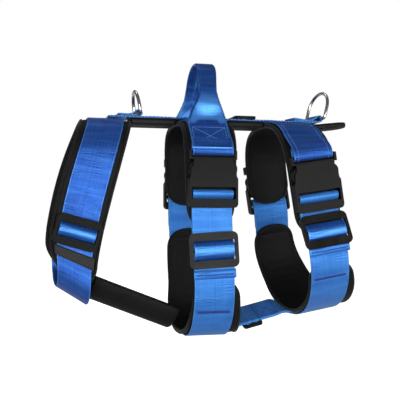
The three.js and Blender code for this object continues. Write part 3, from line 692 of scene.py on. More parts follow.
# A darker copy of the blue webbing, painted shade, with a painted highlight across the middle of each turn.
ROLL = webbing_material(
    "roll_webbing", linear(34, 80, 160), linear(84, 150, 228), linear(24, 56, 124), glint=0.6)
PAD = fabric_material("black_padding", linear(7, 7, 8), linear(13, 13, 14))
BINDING = binding_material("black_binding", linear(6, 6, 7), linear(13, 13, 14))
ELASTIC = binding_material("black_elastic", linear(24, 24, 25), linear(58, 58, 58))
PLASTIC = plastic_material("black_plastic", linear(6, 6, 7), linear(16, 16, 17), 0.42)
GREY_PLASTIC = plastic_material("grey_plastic", linear(15, 15, 14), linear(48, 47, 45), 0.38)
STEEL = steel_material("nickel_ring")
BLUE_THREAD = thread_material("blue_thread", linear(14, 22, 96), linear(28, 40, 134))
LIGHT_THREAD = thread_material("light_thread", linear(64, 118, 198), linear(112, 164, 230))
BLACK_THREAD = thread_material("black_thread", linear(16, 16, 17), linear(44, 44, 46))
PAD_LOOKS = [PAD, BINDING, BLACK_THREAD]


def build_woven(shape, name, webbing=BLUE):
    """A piece of sewn webbing."""
    return shape.build(name, [webbing, BLUE_THREAD, LIGHT_THREAD])


def show_woven(shape, node, webbing=BLUE):
    """A piece of sewn webbing, shown instead of its CAD node."""
    stand_for(build_woven(shape, node + "_woven", webbing), "blue_webbing", node)



# ---------- padding ----------
PAD_COLUMNS = 23
PAD_ROW = 3.6
NOSE_ROWS = 9
PIPING = 2.1
SWELL_FRAMES = 20
SWELL = {
    "vertex_group_mass": "seams", "use_pressure": True, "uniform_pressure_force": 4.0,
    "tension_stiffness": 12, "compression_stiffness": 12, "bending_stiffness": 0.3,
}
swelling = []


def nose(distance, reach):
    """Share of the full width at a distance from a rounded end."""
    return 1 - (1 - np.sqrt(np.clip(distance / reach, 0, 1))) ** 2


def pad_half(along, length, width, reach):
    """Half the width of a pad along its length: rounded ends that widen to the full width."""
    end = np.minimum(along, length - along)
    if not reach:
        return np.full_like(end, width / 2)
    narrow = min(PAD_END_HALF, width / 2)
    widening = np.clip((end - reach) / PAD_WIDENING, 0, 1)
    return nose(end, reach) * (narrow + (width / 2 - narrow) * widening)


def pad_rows(length, reach):
    """Distances along a pad with rounded ends: close together at the ends, then even."""
    ends = reach * (np.arange(1, NOSE_ROWS + 1) / NOSE_ROWS) ** 2 if reach else np.array([0.0])
    count = max(2, int((length - 2 * ends[-1]) / PAD_ROW))
    even = np.linspace(ends[-1], length - ends[-1], count + 1)
    return np.concatenate([ends[:-1], even, length - ends[:-1][::-1]])


def add_pad(shape, ribbon, width, seams, reach, rows_sewn, inner, outer):
    """A soft padded band with pinched seams. Returns the points that stay on seams."""
    along = pad_rows(ribbon.length, reach)
    half = pad_half(along, ribbon.length, width, reach) - PIPING
    half = np.maximum(half, 1.2)[:, None]
    share = np.sin(np.linspace(-1, 1, PAD_COLUMNS) * math.pi / 2)[None, :]
    across = share * half
    middle, thick = (inner + outer) / 2, (outer - inner) / 2
    crown = (1 - np.abs(share) ** 5) ** 0.5 * 0.72 + 0.28
    pinch = sum(np.exp(-((np.abs(across) - seam) / 1.6) ** 2) for seam in seams)
    for row in rows_sewn:
        pinch = np.maximum(
            pinch, 1.7 * np.exp(-((along[:, None] - row) / 2.2) ** 2) * (np.abs(share) < 0.85))
    top = middle + thick * crown
    low = middle - thick * crown * (1 - 0.45 * pinch)
    points = ribbon.at(
        along[:, None], np.concatenate([across, across[:, ::-1]], axis=1),
        np.concatenate([top + 0 * across, (low + 0 * across)[:, ::-1]], axis=1))
    shape.tube(points)
    rows, columns = points.shape[:2]
    index = np.arange(rows * columns).reshape(rows, columns)
    on_seam = np.zeros((rows, columns), bool)
    on_seam[:, :PAD_COLUMNS] = np.abs(across) < max(seams, default=-1.0) + 1
    for seam in seams:
        for place in (seam, -seam):
            nearest = np.argmin(np.abs(across - place), axis=1)
            on_seam[np.arange(rows), columns - 1 - nearest] = True
    on_seam[:, [0, PAD_COLUMNS - 1, PAD_COLUMNS, columns - 1]] = True
    on_seam[:2] = True
    on_seam[-2:] = True
    for row in rows_sewn:
        on_seam[np.abs(along - row) < 2.0, PAD_COLUMNS + 3:columns - 3] = True
        ends = [(row, -20.0), (row, 20.0)]
        add_stitches(shape, ribbon, ends, middle - thick * 0.62, pitch=3.4, radius=0.4, slot=2)
    return index[on_seam].tolist()


def add_piping(shape, ribbon, width, reach, inner, outer):
    """Bound edge all round a pad."""
    along = pad_rows(ribbon.length, reach)
    half = np.maximum(0, pad_half(along, ribbon.length, width, reach) - PIPING)
    outline = np.concatenate([
        np.column_stack([along, -half]), np.column_stack([along[::-1], half[::-1]])])
    outline = np.vstack([outline, outline[:1]])
    line = spaced(outline, 2.6)[:-1]
    points = ribbon.at(line[:, 0], line[:, 1], (inner + outer) / 2)
    out = ribbon.mixed(ribbon.out, line[:, 0])
    side = unit(np.cross(round_tangent(points), out))
    shape.closed_tube(points, side, out, PIPING, (outer - inner) / 2 + 0.25, 12, slot=1, power=0.8)


def make_pad(node, ribbon, width, seams=(25.0,), reach=26.5, rows_sewn=(),
             inner=PAD_INNER, outer=PAD_OUTER, swell=1.8):
    """A padded band with piping, ready to be swollen, shown instead of its CAD node."""
    shape = Shape()
    pinned = add_pad(shape, ribbon, width, seams, reach, rows_sewn, inner, outer)
    add_piping(shape, ribbon, width, reach, inner, outer)
    pinned += range(PAD_COLUMNS * 2 * len(pad_rows(ribbon.length, reach)), shape.count)
    piece = shape.build(node + "_soft", PAD_LOOKS)
    swelling.append((piece, pinned, swell * MM))
    stand_for(piece, "black_padding", node)


def coordinates(mesh):
    flat = np.zeros(len(mesh.vertices) * 3, np.float32)
    mesh.vertices.foreach_get("co", flat)
    return flat.reshape(-1, 3).astype(float)


def swell_pads():
    """Cloth pressure swells every padded piece between its seams; no point moves past its cap."""
    scene = bpy.context.scene
    scene.frame_start, scene.frame_end = 1, SWELL_FRAMES
    for piece, pinned, _ in swelling:
        group = piece.vertex_groups.new(name="seams")
        group.add(pinned, 1.0, "REPLACE")
        cloth = piece.modifiers.new("swell", "CLOTH")
        set_all(cloth.settings, SWELL)
        cloth.settings.effector_weights.gravity = 0
        cloth.collision_settings.use_collision = False
        cloth.point_cache.frame_start, cloth.point_cache.frame_end = 1, SWELL_FRAMES
    for step in range(1, SWELL_FRAMES + 1):
        scene.frame_set(step)
    graph = bpy.context.evaluated_depsgraph_get()
    for piece, _, cap in swelling:
        swollen = coordinates(piece.evaluated_get(graph).data)
        rest = coordinates(piece.data)
        move = swollen - rest
        length = np.linalg.norm(move, axis=1, keepdims=True)
        move *= np.minimum(1, cap / np.maximum(length, 1e-12))
        piece.modifiers.clear()
        piece.vertex_groups.clear()
        piece.data.vertices.foreach_set("co", (rest + move).astype(np.float32).ravel())
        piece.data.update()
    scene.frame_set(1)


def make_loop_pads():
    """Pads over the loops, and pads under them with cross seams and a drift to the rear."""
    for node, loop, left, right, upwards, width, drift in (
        ("neck_yoke_pad", NECK, 78, 82, True, 63.0, 0.0),
        ("front_saddle_pad", FRONT, 138, 168, True, 66.0, 0.0),
        ("front_belly_pad", FRONT, 74, 134, False, 74.0, 4.0),
        ("rear_saddle_pad", REAR, 132, 172, True, 61.0, 0.0),
        ("rear_belly_pad", REAR, 96, 140, False, 70.0, 6.0),
    ):
        line = smooth_line(loop.run(left, right, upwards), 2.5)
        ribbon = loop_ribbon(loop, line, 1 if upwards else -1)
        ribbon.middle += ribbon.across * (drift * smoothstep(110 - line[:, 1], 0, 60))[:, None]
        rows_sewn = () if upwards else (13.0, ribbon.length - 13.0)
        make_pad(node, ribbon, width, rows_sewn=rows_sewn)


# ---------- webbing on the loops ----------
def round_bar(height, turn, way):
    """Points (offset, height) over (way 1) or under (way -1) a buckle's bar, from outside to inside."""
    return [(BUCKLE_MIDDLE + turn * math.cos(angle), height + way * turn * math.sin(angle))
            for angle in np.linspace(0, math.pi, 7)]


def plug_hook(loop, side, mouth):
    """Webbing from outside a plug bar, round it, and in towards the loop."""
    height = PLUG_BAR["height"]
    inner = BUCKLE_MIDDLE - PLUG_TURN
    points = [(BUCKLE_MIDDLE + PLUG_TURN, height + 3), *round_bar(height, PLUG_TURN, -1)]
    points += [(inner - 0.3, height + 6), (inner - 0.9, height + 11)]
    return [(side * (loop.half_width + offset), mouth + z) for offset, z in points]


def upper_line(loop, mouth):
    lies = loop.run(mouth + LIES_FROM, mouth + LIES_FROM, True)
    lifted = beside(lies, 0.1 + HALF_THICK).tolist()
    return smooth_line(plug_hook(loop, -1, mouth)[::-1] + lifted + plug_hook(loop, 1, mouth), 1.2)


def lower_line(loop, mouth, tilt, tails):
    inner = 0.2 + HALF_THICK
    outer = inner + WEBBING_THICKNESS + GAP
    bar = mouth - SOCKET_BAR["depth"] * math.cos(tilt)
    turn = SOCKET_BAR["radius"] + GAP + HALF_THICK

    def hook(side, end):
        points = [(outer, z) for z in np.arange(end, bar - 26, 12)]
        points += [(outer, bar - 14), (outer, bar - 8), (BUCKLE_MIDDLE + turn - 1.4, bar - 3.2)]
        points += [*round_bar(bar, turn, 1), (inner + 0.3, bar - 6), (inner, bar - 12)]
        return [(side * (loop.half_width + float(loop.flare(z)) + offset), z) for offset, z in points]

    under = beside(loop.run(bar - 18, bar - 18, False), -inner).tolist()
    return smooth_line(hook(-1, tails[0]) + under + hook(1, tails[1])[::-1], 1.2)


def hem(shape, ribbon, reach, width):
    """The first end of a strap, folded back on itself and sewn down with a zigzag."""
    add_strap(shape, ribbon, width=width, thickness=WEBBING_THICKNESS * 1.05, start=0.6, end=reach,
              lift=WEBBING_THICKNESS)
    path = zigzag_across(reach * 0.45, width / 2 - 3, 0.9, 1.5)
    add_strokes(shape, ribbon, path, WEBBING_THICKNESS * 1.6, 0.5)


def make_upper_webbing(name, loop, mouth, seed):
    """Webbing over the back; the rear one shows its stitching, which the front one hides under a patch."""
    ribbon = loop_ribbon(loop, upper_line(loop, mouth))
    shape = Shape()
    add_strap(shape, ribbon, flutter=0.12, seed=seed)
    for side in (-1, 1) if loop is REAR else ():
        low, high = ribbon.along_at(mouth + SEWN_FROM, side), ribbon.along_at(BACK_HEIGHT - 5, side)
        for across in (-SEWN_HALF, SEWN_HALF):
            add_stitches(shape, ribbon, [(low, across), (high, across)], WEBBING_TOP, slot=2)
        for height in (mouth + 15, mouth + 21):
            row = zigzag_across(ribbon.along_at(height, side), SEWN_HALF, 0.8, 1.5)
            add_strokes(shape, ribbon, row, WEBBING_TOP)
    show_woven(shape, name, SHADED_BLUE)


def make_lower_webbing(name, loop, mouth, tilt, tails, tack_height, seed):
    """Webbing from one socket to the other under the belly, with a hem and a bar tack on each side."""
    ribbon = loop_ribbon(loop, lower_line(loop, mouth, tilt, tails))
    shape = Shape()
    add_strap(shape, ribbon, flutter=0.14, seed=seed)
    hem(shape, ribbon, 11.0, WEBBING + 2.4)
    for side in (-1, 1):
        bar_tack(shape, ribbon, ribbon.along_at(tack_height, side), TACK_HALF, -WEBBING_TOP)
    show_woven(shape, name)


def make_loop_webbing():
    make_upper_webbing("front_upper_webbing", FRONT, FRONT_MOUTH, 11)
    make_upper_webbing("rear_upper_webbing", REAR, REAR_MOUTH, 12)
    make_lower_webbing("front_lower_webbing", FRONT, FRONT_MOUTH, 0.0, (76, 140), 36, 13)
    make_lower_webbing("rear_lower_webbing", REAR, REAR_MOUTH, REAR_TILT, (106, 140), 78, 14)


def make_neck_webbing():
    left, right = NECK_SPLIT
    upper = smooth_line(beside(NECK.run(left, right, True), HALF_THICK), 1.5)
    lower = smooth_line(beside(NECK.run(left - 0.5, right - 0.5, False), -HALF_THICK), 1.5)
    for node, ribbon, flutter, seed in (
        ("neck_upper_webbing", loop_ribbon(NECK, upper), 0.2, 21),
        ("neck_lower_webbing", loop_ribbon(NECK, lower, -1), 0.15, 22),
    ):
        shape = Shape()
        add_strap(shape, ribbon, width=NECK_WEBBING, flutter=flutter, seed=seed)
        show_woven(shape, node, SHADED_BLUE)
    keeper = Shape()
    heights = np.linspace(*KEEPER, 7)
    offset = NECK.half_width + WEBBING_THICKNESS + 1.2
    line = np.column_stack([-offset - 0.25 * np.sin(np.linspace(0, math.pi, 7)), heights])
    add_strap(keeper, loop_ribbon(NECK, line), width=NECK_WEBBING + 5, thickness=1.4)
    stand_for(keeper.build("neck_keeper_elastic", [ELASTIC]), "black_elastic", "neck_keeper")


# ---------- slides ----------
def slide_frame(loop, height, standoff):
    """Place of a slide on the left side: local X across, -Y out, Z up along the strap."""
    width = loop.half_width + float(loop.flare(height)) + standoff
    turn = float(loop.turn(height))
    lean = -math.atan2(float(loop.flare(height - 8) - loop.flare(height + 8)), 16)
    place = Matrix.Translation((float(loop.sweep(height)), -width, height))
    return np.array(place @ Matrix.Rotation(turn, 4, "Y") @ Matrix.Rotation(lean, 4, "X"))


def local_ribbon(place, middle, across, out):
    turn, shift = place[:3, :3], place[:3, 3]
    return Ribbon(middle @ turn.T + shift, turn @ across, turn @ out)


def bulge(t):
    """Height of a turn of webbing over a bar, 1 in the middle and 0 at both ends."""
    return 1 - np.abs(t) ** 2.6


def make_slide_turns():
    """The turns of webbing that pass over the middle bars of the slides."""
    double = 2 * (WEBBING_THICKNESS + GAP) + 0.2
    t = np.linspace(-1, 1, 41)
    for place, loop, height, standoff, window, width in (
        ("front", FRONT, FRONT_SLIDE, double + 0.2, 24, WEBBING),
        ("rear", REAR, REAR_SLIDE, double + 2.4, 22, WEBBING),
        ("neck", NECK, NECK_SLIDE, WEBBING_THICKNESS + 0.4, 18, NECK_WEBBING),
    ):
        reach = (window - 1.6) / 2
        middle = spaced(np.column_stack([0 * t, -(1.1 + 4.5 * bulge(t)), t * reach]), 0.8)
        ribbon = local_ribbon(slide_frame(loop, height, standoff), middle, (1, 0, 0), (0, -1, 0))
        shape = Shape()
        add_strap(shape, ribbon, width=width - 0.6, thickness=1.4, flutter=0.1, seed=31)
        show_woven(shape, f"{place}_left_slide_webbing_turn", ROLL)


# ---------- handle ----------
HANDLE = {"base": 267.5, "top": 346.0, "spread": 52.0, "lean": 0.09}
HANDLE_SEWN = 260.5
HANDLE_FLAT = 24.0
HANDLE_NECK = 9.3
HANDLE_GRIP = 10.4
HANDLE_FOLD_RADIUS = 1.3
HANDLE_THICKNESS = 1.5


def handle_line():
    """Middle line (Y, Z) of the handle: up a sewn patch, over the arch and down the other patch."""
    leave = FRONT_MOUTH + LIES_FROM
    proud = WEBBING_THICKNESS + GAP
    over = beside(FRONT.run(leave, leave, True), 0.1 + HALF_THICK + proud)
    low = (-(FRONT.half_width + BUCKLE_MIDDLE + PLUG_TURN + proud), FRONT_MOUTH + 9.5)
    left = [low, tuple(over[0]), tuple(over[1])]
    arch = []
    for t in np.linspace(-0.995, 0, 14):
        lift = (1 - abs(t) ** 2.1) ** 0.62
        arch.append((t * HANDLE["spread"], HANDLE["base"] + (HANDLE["top"] - HANDLE["base"]) * lift))
    half = left + arch
    return smooth_line(half + [(-y, z) for y, z in half[-2::-1]], 1.6)


def folded_section(height):
    """Cross section of the handle at a height: flat on the patch, its edges folded under at the grip."""
    gather = float(smoothstep(height, 258, 310))
    narrow = HANDLE_NECK + (HANDLE_GRIP - HANDLE_NECK) * float(smoothstep(height, 310, 342))
    flat = HANDLE_FLAT - (HANDLE_FLAT - narrow) * gather
    fold = math.pi * float(smoothstep(height, 260, 282))
    arc = np.linspace(-HANDLE_FLAT, HANDLE_FLAT, 33)
    side, reach = np.sign(arc), np.abs(arc)
    bend = np.clip((reach - flat) / HANDLE_FOLD_RADIUS, 0, max(fold, 1e-6))
    past = np.maximum(0, reach - flat - bend * HANDLE_FOLD_RADIUS)
    u = np.minimum(reach, flat) + HANDLE_FOLD_RADIUS * np.sin(bend) + past * np.cos(bend)
    h = -HANDLE_FOLD_RADIUS * (1 - np.cos(bend)) - past * np.sin(bend)
    normal = np.column_stack([side * np.sin(bend), np.cos(bend)])
    middle = np.column_stack([side * u, h])
    half = HANDLE_THICKNESS / 2
    return arc, np.vstack([middle + half * normal, (middle - half * normal)[::-1]])


def hollow(height, across):
    """How far the middle of the strap sinks in where it narrows above its patch."""
    depth = 3.0 * smoothstep(height, 260, 270) * (1 - smoothstep(height, 274, 288))
    return depth * np.clip(1 - (across / 15) ** 2, 0, 1)


def make_handle():
    """One strap, folded in at the grip, that is sewn down on both sides and turned under at its ends."""
    line = handle_line()
    z = line[:, 1]
    middle = np.column_stack([HANDLE["lean"] * np.maximum(0, z - HANDLE["base"]), line])
    out = np.column_stack([0 * z, leftward(line)])
    ribbon = Ribbon(middle, (1, 0, 0), out)
    shape = Shape()
    rings, weave = [], []
    for along, height in zip(ribbon.along, z):
        arc, section = folded_section(height)
        u, h = section.T
        wave = 0.35 * ripple(along, u, 41) * smoothstep(height, 262, 280)
        rings.append(ribbon.at(along, u, h + wave - hollow(height, u)))
        across = np.concatenate([arc, arc[::-1]])
        weave.append(np.column_stack([across, 0 * across + along, 0 * across + HANDLE_FLAT]))
    shape.tube(np.array(rings), np.array(weave))
    top = HANDLE_THICKNESS / 2 + 0.05
    for side in (-1, 1):
        sewn = [ribbon.along_at(height, side) for height in (FRONT_MOUTH + SEWN_FROM, HANDLE_SEWN - 2.5)]
        box_stitches(shape, ribbon, sewn, 20.5, top, slot=2, radius=0.32)
        row = zigzag_across(ribbon.along_at(HANDLE_SEWN, side), 21.5, 1.1)
        add_strokes(shape, ribbon, row, top, 0.5)
        end = 0.0 if side < 0 else ribbon.length
        folded = end - side * np.array([0.2, 1.6, 3.2, 4.8, 6.4])
        roll = Ribbon(ribbon.at(folded, 0, 0), (1, 0, 0), out[[0 if side < 0 else -1]])
        add_strap(shape, roll, width=2 * HANDLE_FLAT + 1.6, thickness=2.4, lift=0.9)
    piece = build_woven(shape, "handle_strap", GLINT)
    sides = [f"handle_{part}_{side}" for part in ("tab", "leg") for side in ("left", "right")]
    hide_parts(*sides, "handle_grip")
    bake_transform(piece)


# ---------- spine ----------
SPINE = {"from": -116.0, "to": 158.0, "width": 38.0, "pad_width": 42.0, "pad_thickness": 8.0}
SPINE_UNDER = BACK_HEIGHT + 2.4
TAIL = {"width": 46.0, "height": 268.6, "bend_from": 160.0, "rise": 0.11}
RING = {"width": 43.0, "corner": 4.0, "wire": 2.1, "loop_width": 24.0}
FRONT_RING = {"x": -77.0, "height": 28.0, "lean": -0.15, "yaw": 0.0, "tail": 26.0}
REAR_RING = {"x": 162.0, "height": 36.5, "lean": 0.26, "yaw": 0.2, "tail": 40.0}
RING_PIVOT = SPINE_UNDER + WEBBING_THICKNESS + GAP + 4.6


def level_ribbon(start, end, height, wave=0.0):
    """A flat strip along X at a height, gently uneven."""
    x = np.linspace(start, end, max(4, int((end - start) / STEP)))
    z = height + wave * fade_ends(x, start, end, 20) * ripple(x, 0 * x, 5)
    return Ribbon(np.column_stack([x, 0 * x, z]), (0, 1, 0), (0, 0, 1))


def reach_of(node):
    """Where a CAD node starts and ends along X."""
    return [(corner.x - SHIFT[0]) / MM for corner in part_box(node)]


def make_spine():
    """The strap along the back, overcast along both edges, on its pads."""
    middle = SPINE_UNDER + HALF_THICK
    ribbon = level_ribbon(SPINE["from"], SPINE["to"], middle, 0.25)
    shape = Shape()
    add_strap(shape, ribbon, width=SPINE["width"], columns=11)
    edge = SPINE["width"] / 2
    for side in (-1, 1):
        path = zigzag(3, ribbon.length - 3, side * (edge - 1.2), side * 1.6, 2.4)
        lift = HALF_THICK + 0.1 - 1.3 * (np.abs(path[:, 1]) > edge)
        points = ribbon.at(path[:, 0], path[:, 1], lift)
        for k, ends in enumerate(zip(points[:-1], points[1:])):
            shape.thread(*ends, 0.85, 1 + k % 2)
    show_woven(shape, "spine_webbing")
    outer = SPINE_UNDER - GAP
    for node in ("spine_pad_front", "spine_pad_rear"):
        strip = level_ribbon(*reach_of(node), outer)
        make_pad(node, strip, SPINE["pad_width"], (17.0,), 0.0, (), -SPINE["pad_thickness"], -0.2, 1.4)


def make_tail():
    """The rounded padded tongue behind the rear D-ring."""
    strip = level_ribbon(*reach_of("spine_pad_tail"), TAIL["height"])
    strip.middle[:, 2] += TAIL["rise"] * np.maximum(0, strip.middle[:, 0] - TAIL["bend_from"])
    make_pad("spine_pad_tail", strip, TAIL["width"], (), 20.0, (), -3.4, 3.4, 1.2)


def yawed(vectors, yaw):
    """Vectors turned about the vertical."""
    return np.asarray(vectors, float) @ np.array(Matrix.Rotation(yaw, 3, "Z")).T


def ring_path(height):
    """Middle line (Y, Z) of a D-ring, with its straight bar on the origin."""
    half, corner = RING["width"] / 2, RING["corner"]
    flat = half - corner
    bar = [(y, 0) for y in np.linspace(-flat, flat, 12)]
    turn = [(flat + corner * math.sin(a), corner - corner * math.cos(a))
            for a in np.linspace(0, math.pi / 2, 7)[1:]]
    bow = [(half * math.cos(a), height - half + half * math.sin(a)) for a in np.linspace(0, math.pi, 37)]
    return np.array(bar + turn + bow + [(-y, z) for y, z in turn[::-1]])


def make_ring(node, place):
    line = ring_path(place["height"])
    cosine, sine = math.cos(place["lean"]), math.sin(place["lean"])
    y, z = line.T
    points = yawed(np.column_stack([z * sine, y, z * cosine]), place["yaw"])
    points += (place["x"], 0, RING_PIVOT)
    side = np.broadcast_to(yawed((cosine, 0.0, -sine), place["yaw"]), points.shape)
    out = np.cross(round_tangent(points), side)
    shape = Shape()
    shape.closed_tube(points, side, out, RING["wire"], RING["wire"], 20)
    stand_for(shape.build(node + "_wire", [STEEL]), "steel_ring", node)


def make_ring_loop(node, place):
    """A strip folded round the ring's bar and sewn down on the spine strap."""
    turn = RING["wire"] + 3 * GAP + HALF_THICK
    floor = SPINE_UNDER + WEBBING_THICKNESS + GAP
    tail = place["tail"]
    lower = floor + HALF_THICK
    upper = lower + WEBBING_THICKNESS + GAP
    points = [(-tail, upper), (-(turn + 5), upper + 0.6)]
    for angle in np.linspace(math.pi / 2, -math.pi / 2, 9):
        points.append((turn * math.cos(angle), RING_PIVOT + turn * math.sin(angle)))
    points += [(-(turn + 4), lower), (-tail, lower)]
    line = smooth_line(points, 1.0)
    yaw = place["yaw"]
    middle = yawed(flat_points(line), yaw) + (place["x"], 0, 0)
    ribbon = Ribbon(middle, yawed((0, 1, 0), yaw), yawed(flat_points(leftward(line)), yaw))
    shape = Shape()
    add_strap(shape, ribbon, width=RING["loop_width"], flutter=0.1, seed=8, columns=9)
    box_stitches(shape, ribbon, (3.0, tail - turn - 6), RING["loop_width"] / 2 - 2.5,
                 WEBBING_TOP, pitch=2.6)
    show_woven(shape, node)


# ---------- chest and belly ----------
CHEST = {"start": (-136.0, 49.5), "end": (-38.0, 10.5), "radius": 32.0, "half_angle": 1.35}
CHEST_TUCKED = 0.08  # share of its length by which the pad goes on behind the neck webbing
CHEST_PAD = {
    "thickness": 7.84, "middle": -2.9, "half_angle": 1.4175, "rows": 30, "columns": 41, "swell": 1.4,
}
CHEST_WEBBING = {"share": 0.3, "depth": 1.4, "past_pad": 0.03}
BELLY = {"start": (46.0, 18.6), "end": (112.5, 34.5), "width": 38.0, "roll": 0.42, "slide_at": 0.32}
BELLY_LAYER = 1.7
BELLY_LAYER_LIFT = 0.95
BELLY_UNDER = (122.0, 26.4)


def arched_rings(start, end, angle, outer, inner, rows):
    """Rings and weave of a strip between two points (X, Z) whose cross section is an arc, open upwards.

    The arc is drawn at angles from its lowest point; outer and inner are its distances past the
    chest's radius.
    """
    line = end - start
    up = unit(np.array([-line[1], line[0]]))
    along = np.linspace(0, 1, rows)[:, None]
    turn = np.concatenate([angle, angle[::-1]])
    arc = CHEST["radius"] + np.concatenate([outer + 0 * angle, (inner + 0 * angle)[::-1]])
    rise = CHEST["radius"] - arc * np.cos(turn)
    points = (start + along * line)[:, None, :] + rise[:, None] * up
    rings = flat_points(points)
    rings[..., 1] = arc * np.sin(turn)
    weave = np.broadcast_arrays(
        turn * CHEST["radius"], along * np.linalg.norm(line), turn.max() * CHEST["radius"])
    return rings, np.stack(weave, axis=-1)


def make_chest():
    """An arched pad that hides its webbing, which shows only where it comes out at the neck."""
    held_start, end = np.array(CHEST["start"]), np.array(CHEST["end"])
    start = held_start - CHEST_TUCKED * (end - held_start)
    rows, columns = CHEST_PAD["rows"], CHEST_PAD["columns"]
    quarter = math.pi / 2 * 0.93  # a little under a quarter turn, so that the edges keep some width
    share = np.sin(np.linspace(-quarter, quarter, columns)) / math.sin(quarter)
    crown = (0.3 + 0.7 * np.sqrt(1 - np.abs(share) ** 6)) * CHEST_PAD["thickness"] / 2
    shape = Shape()
    rings, weave = arched_rings(
        start, end, CHEST_PAD["half_angle"] * share, CHEST_PAD["middle"] + crown,
        CHEST_PAD["middle"] - crown, rows)
    shape.tube(rings, weave)
    around = 2 * columns
    index = np.arange(around * rows).reshape(rows, around)
    held = np.zeros((rows, around), bool)
    held[:, [0, columns - 1, columns, around - 1]] = True
    held[[0, -1]] = True
    piece = shape.build("chest_pad_soft", PAD_LOOKS)
    swelling.append((piece, index[held].tolist(), CHEST_PAD["swell"] * MM))
    depth = CHEST_WEBBING["depth"]
    angle = CHEST["half_angle"] * CHEST_WEBBING["share"] * np.linspace(-1, 1, 9)
    past_pad = start - (end - start) * CHEST_WEBBING["past_pad"]
    strap = Shape()
    strap.tube(*arched_rings(past_pad, end, angle, -depth, -depth - WEBBING_THICKNESS, 34))
    return piece, build_woven(strap, "chest_webbing_woven")


def join_chest(pad, webbing):
    """The chest pieces, which run from the neck to the front girth, are shown instead of their CAD nodes."""
    for piece, slot, node in (
        (pad, "black_padding", "chest_pad"), (webbing, "blue_webbing", "chest_webbing"),
    ):
        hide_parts(node)
        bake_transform(piece)


def belly_half(points, fade):
    """A ribbon through points (X, Z), rolled to one side; a fade of 1 takes the roll away at its end."""
    line = smooth_line(points)
    tangent = tangents(line)
    tangent *= np.sign(tangent[:, :1])
    turn = BELLY["roll"] * (1 - fade * smoothstep(np.linspace(0, 1, len(line)), 0.55, 1))
    sine, cosine = np.sin(turn), np.cos(turn)
    normal = np.column_stack([-tangent[:, 1] * cosine, -sine, tangent[:, 0] * cosine])
    across = np.column_stack([-tangent[:, 1] * sine, cosine, tangent[:, 0] * sine])
    return Ribbon(flat_points(line), across, normal)


def make_belly():
    """Two halves joined at the slide; the rear one tucks under the rear belly pad."""
    start, end = np.array(BELLY["start"]), np.array(BELLY["end"])
    direction = unit(end - start)
    cut = start + (end - start) * BELLY["slide_at"]
    front = belly_half([cut + direction * 10, start + direction * 6, start - direction * 2], 0)
    rear = belly_half([cut + direction * 10.4, end - direction * 16, end - direction * 7, BELLY_UNDER], 1)
    for name, ribbon, body in (
        ("belly_strap_front", front, "front_lower"), ("belly_strap_rear", rear, "rear_lower"),
    ):
        shape = Shape()
        for side in (-1, 1):
            add_strap(shape, ribbon, width=BELLY["width"], thickness=BELLY_LAYER,
                      lift=side * BELLY_LAYER_LIFT)
            if body == "rear_lower":
                out = side * (BELLY_LAYER_LIFT + BELLY_LAYER / 2 + 0.05)
                box_stitches(shape, ribbon, (4.0, 26.0), 15.5, out, radius=0.5)
        if body == "front_lower":
            t = np.linspace(-1, 1, 21)[:, None]
            normal = ribbon.out[0]
            middle = flat_points(cut) + 6.2 * t * flat_points(direction) - (1.9 + 4.3 * bulge(t)) * normal
            turn = Ribbon(spaced(middle, 0.8), ribbon.across[0], -normal)
            add_strap(shape, turn, width=BELLY["width"] - 1, thickness=1.4)
        piece = build_woven(shape, name)
        if body == "front_lower":
            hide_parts("belly_strap")
        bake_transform(piece)


# ---------- hard parts ----------
WELD = 3e-6
FLAT = math.radians(1)
SHARP = math.radians(35)
STAYS_SHARP = math.radians(38)


def harden(node, material, bevel):
    """A moulded part: the CAD solid with its facets joined and its edges rounded."""
    work = bmesh.new()
    work.from_mesh(frame["nodes"][node].data)
    bmesh.ops.remove_doubles(work, verts=work.verts, dist=WELD)
    bmesh.ops.dissolve_limit(work, angle_limit=FLAT, verts=work.verts, edges=work.edges)
    edges = [e for e in work.edges if e.is_manifold and e.calc_face_angle(0) > SHARP]
    bmesh.ops.bevel(
        work, geom=edges, offset=bevel * MM, segments=3, profile=0.6, affect="EDGES", clamp_overlap=True)
    bmesh.ops.triangulate(work, faces=[f for f in work.faces if len(f.verts) > 4])
    mesh = bpy.data.meshes.new(node + "_moulded")
    work.to_mesh(mesh)
    work.free()
    mesh.materials.append(material)
    mesh.shade_smooth()
    mesh.set_sharp_from_angle(angle=STAYS_SHARP)
    piece = new_object(node + "_moulded", mesh)
    piece.modifiers.new("even_shading", "WEIGHTED_NORMAL").keep_sharp = True
    stand_for(piece, "black_plastic", node)


def make_hard_parts():
    for girth in ("front", "rear"):
        for side in ("left", "right"):
            for part, bevel in (("plug", 0.5), ("socket", 0.7), ("prong_a", 0.5), ("prong_b", 0.5)):
                harden(f"{girth}_{side}_{part}", PLASTIC, bevel)
        harden(f"{girth}_left_slide", GREY_PLASTIC, 1.0)
    harden("neck_left_slide", PLASTIC, 0.9)
    harden("spine_slide", PLASTIC, 0.8)
    harden("belly_slide", GREY_PLASTIC, 0.7)


# ---------- studio ----------
# Soft lights: place and target from the harness's middle, in metres, then the disk's size and power.
LIGHTS = {
    "key": ((-0.65, -1.5, 0.12), (0, 0, 0), 0.9, 16),
    "low": ((0.3, -1.3, -0.18), (0, 0, -0.12), 0.5, 9),
    "fill": ((0.9, -1.4, 0.0), (0, 0, 0), 0.7, 10),
    "top": ((-0.2, 0.5, 1.5), (0, 0, 0), 0.8, 3),
    "back": ((0.2, 1.6, 0.3), (0, 0, 0), 1.0, 3),
}
DIM_WORLD = 0.13
DIM_FLOOR = 0.2
FLOOR_DEPTH = 0.055
CAMERA_PLACE = (-0.1787, -0.9690, -0.1185)
CAMERA_AZIMUTH = math.radians(14)
CAMERA = {"lens": 70, "sensor_width": 36, "shift_y": 0.05}


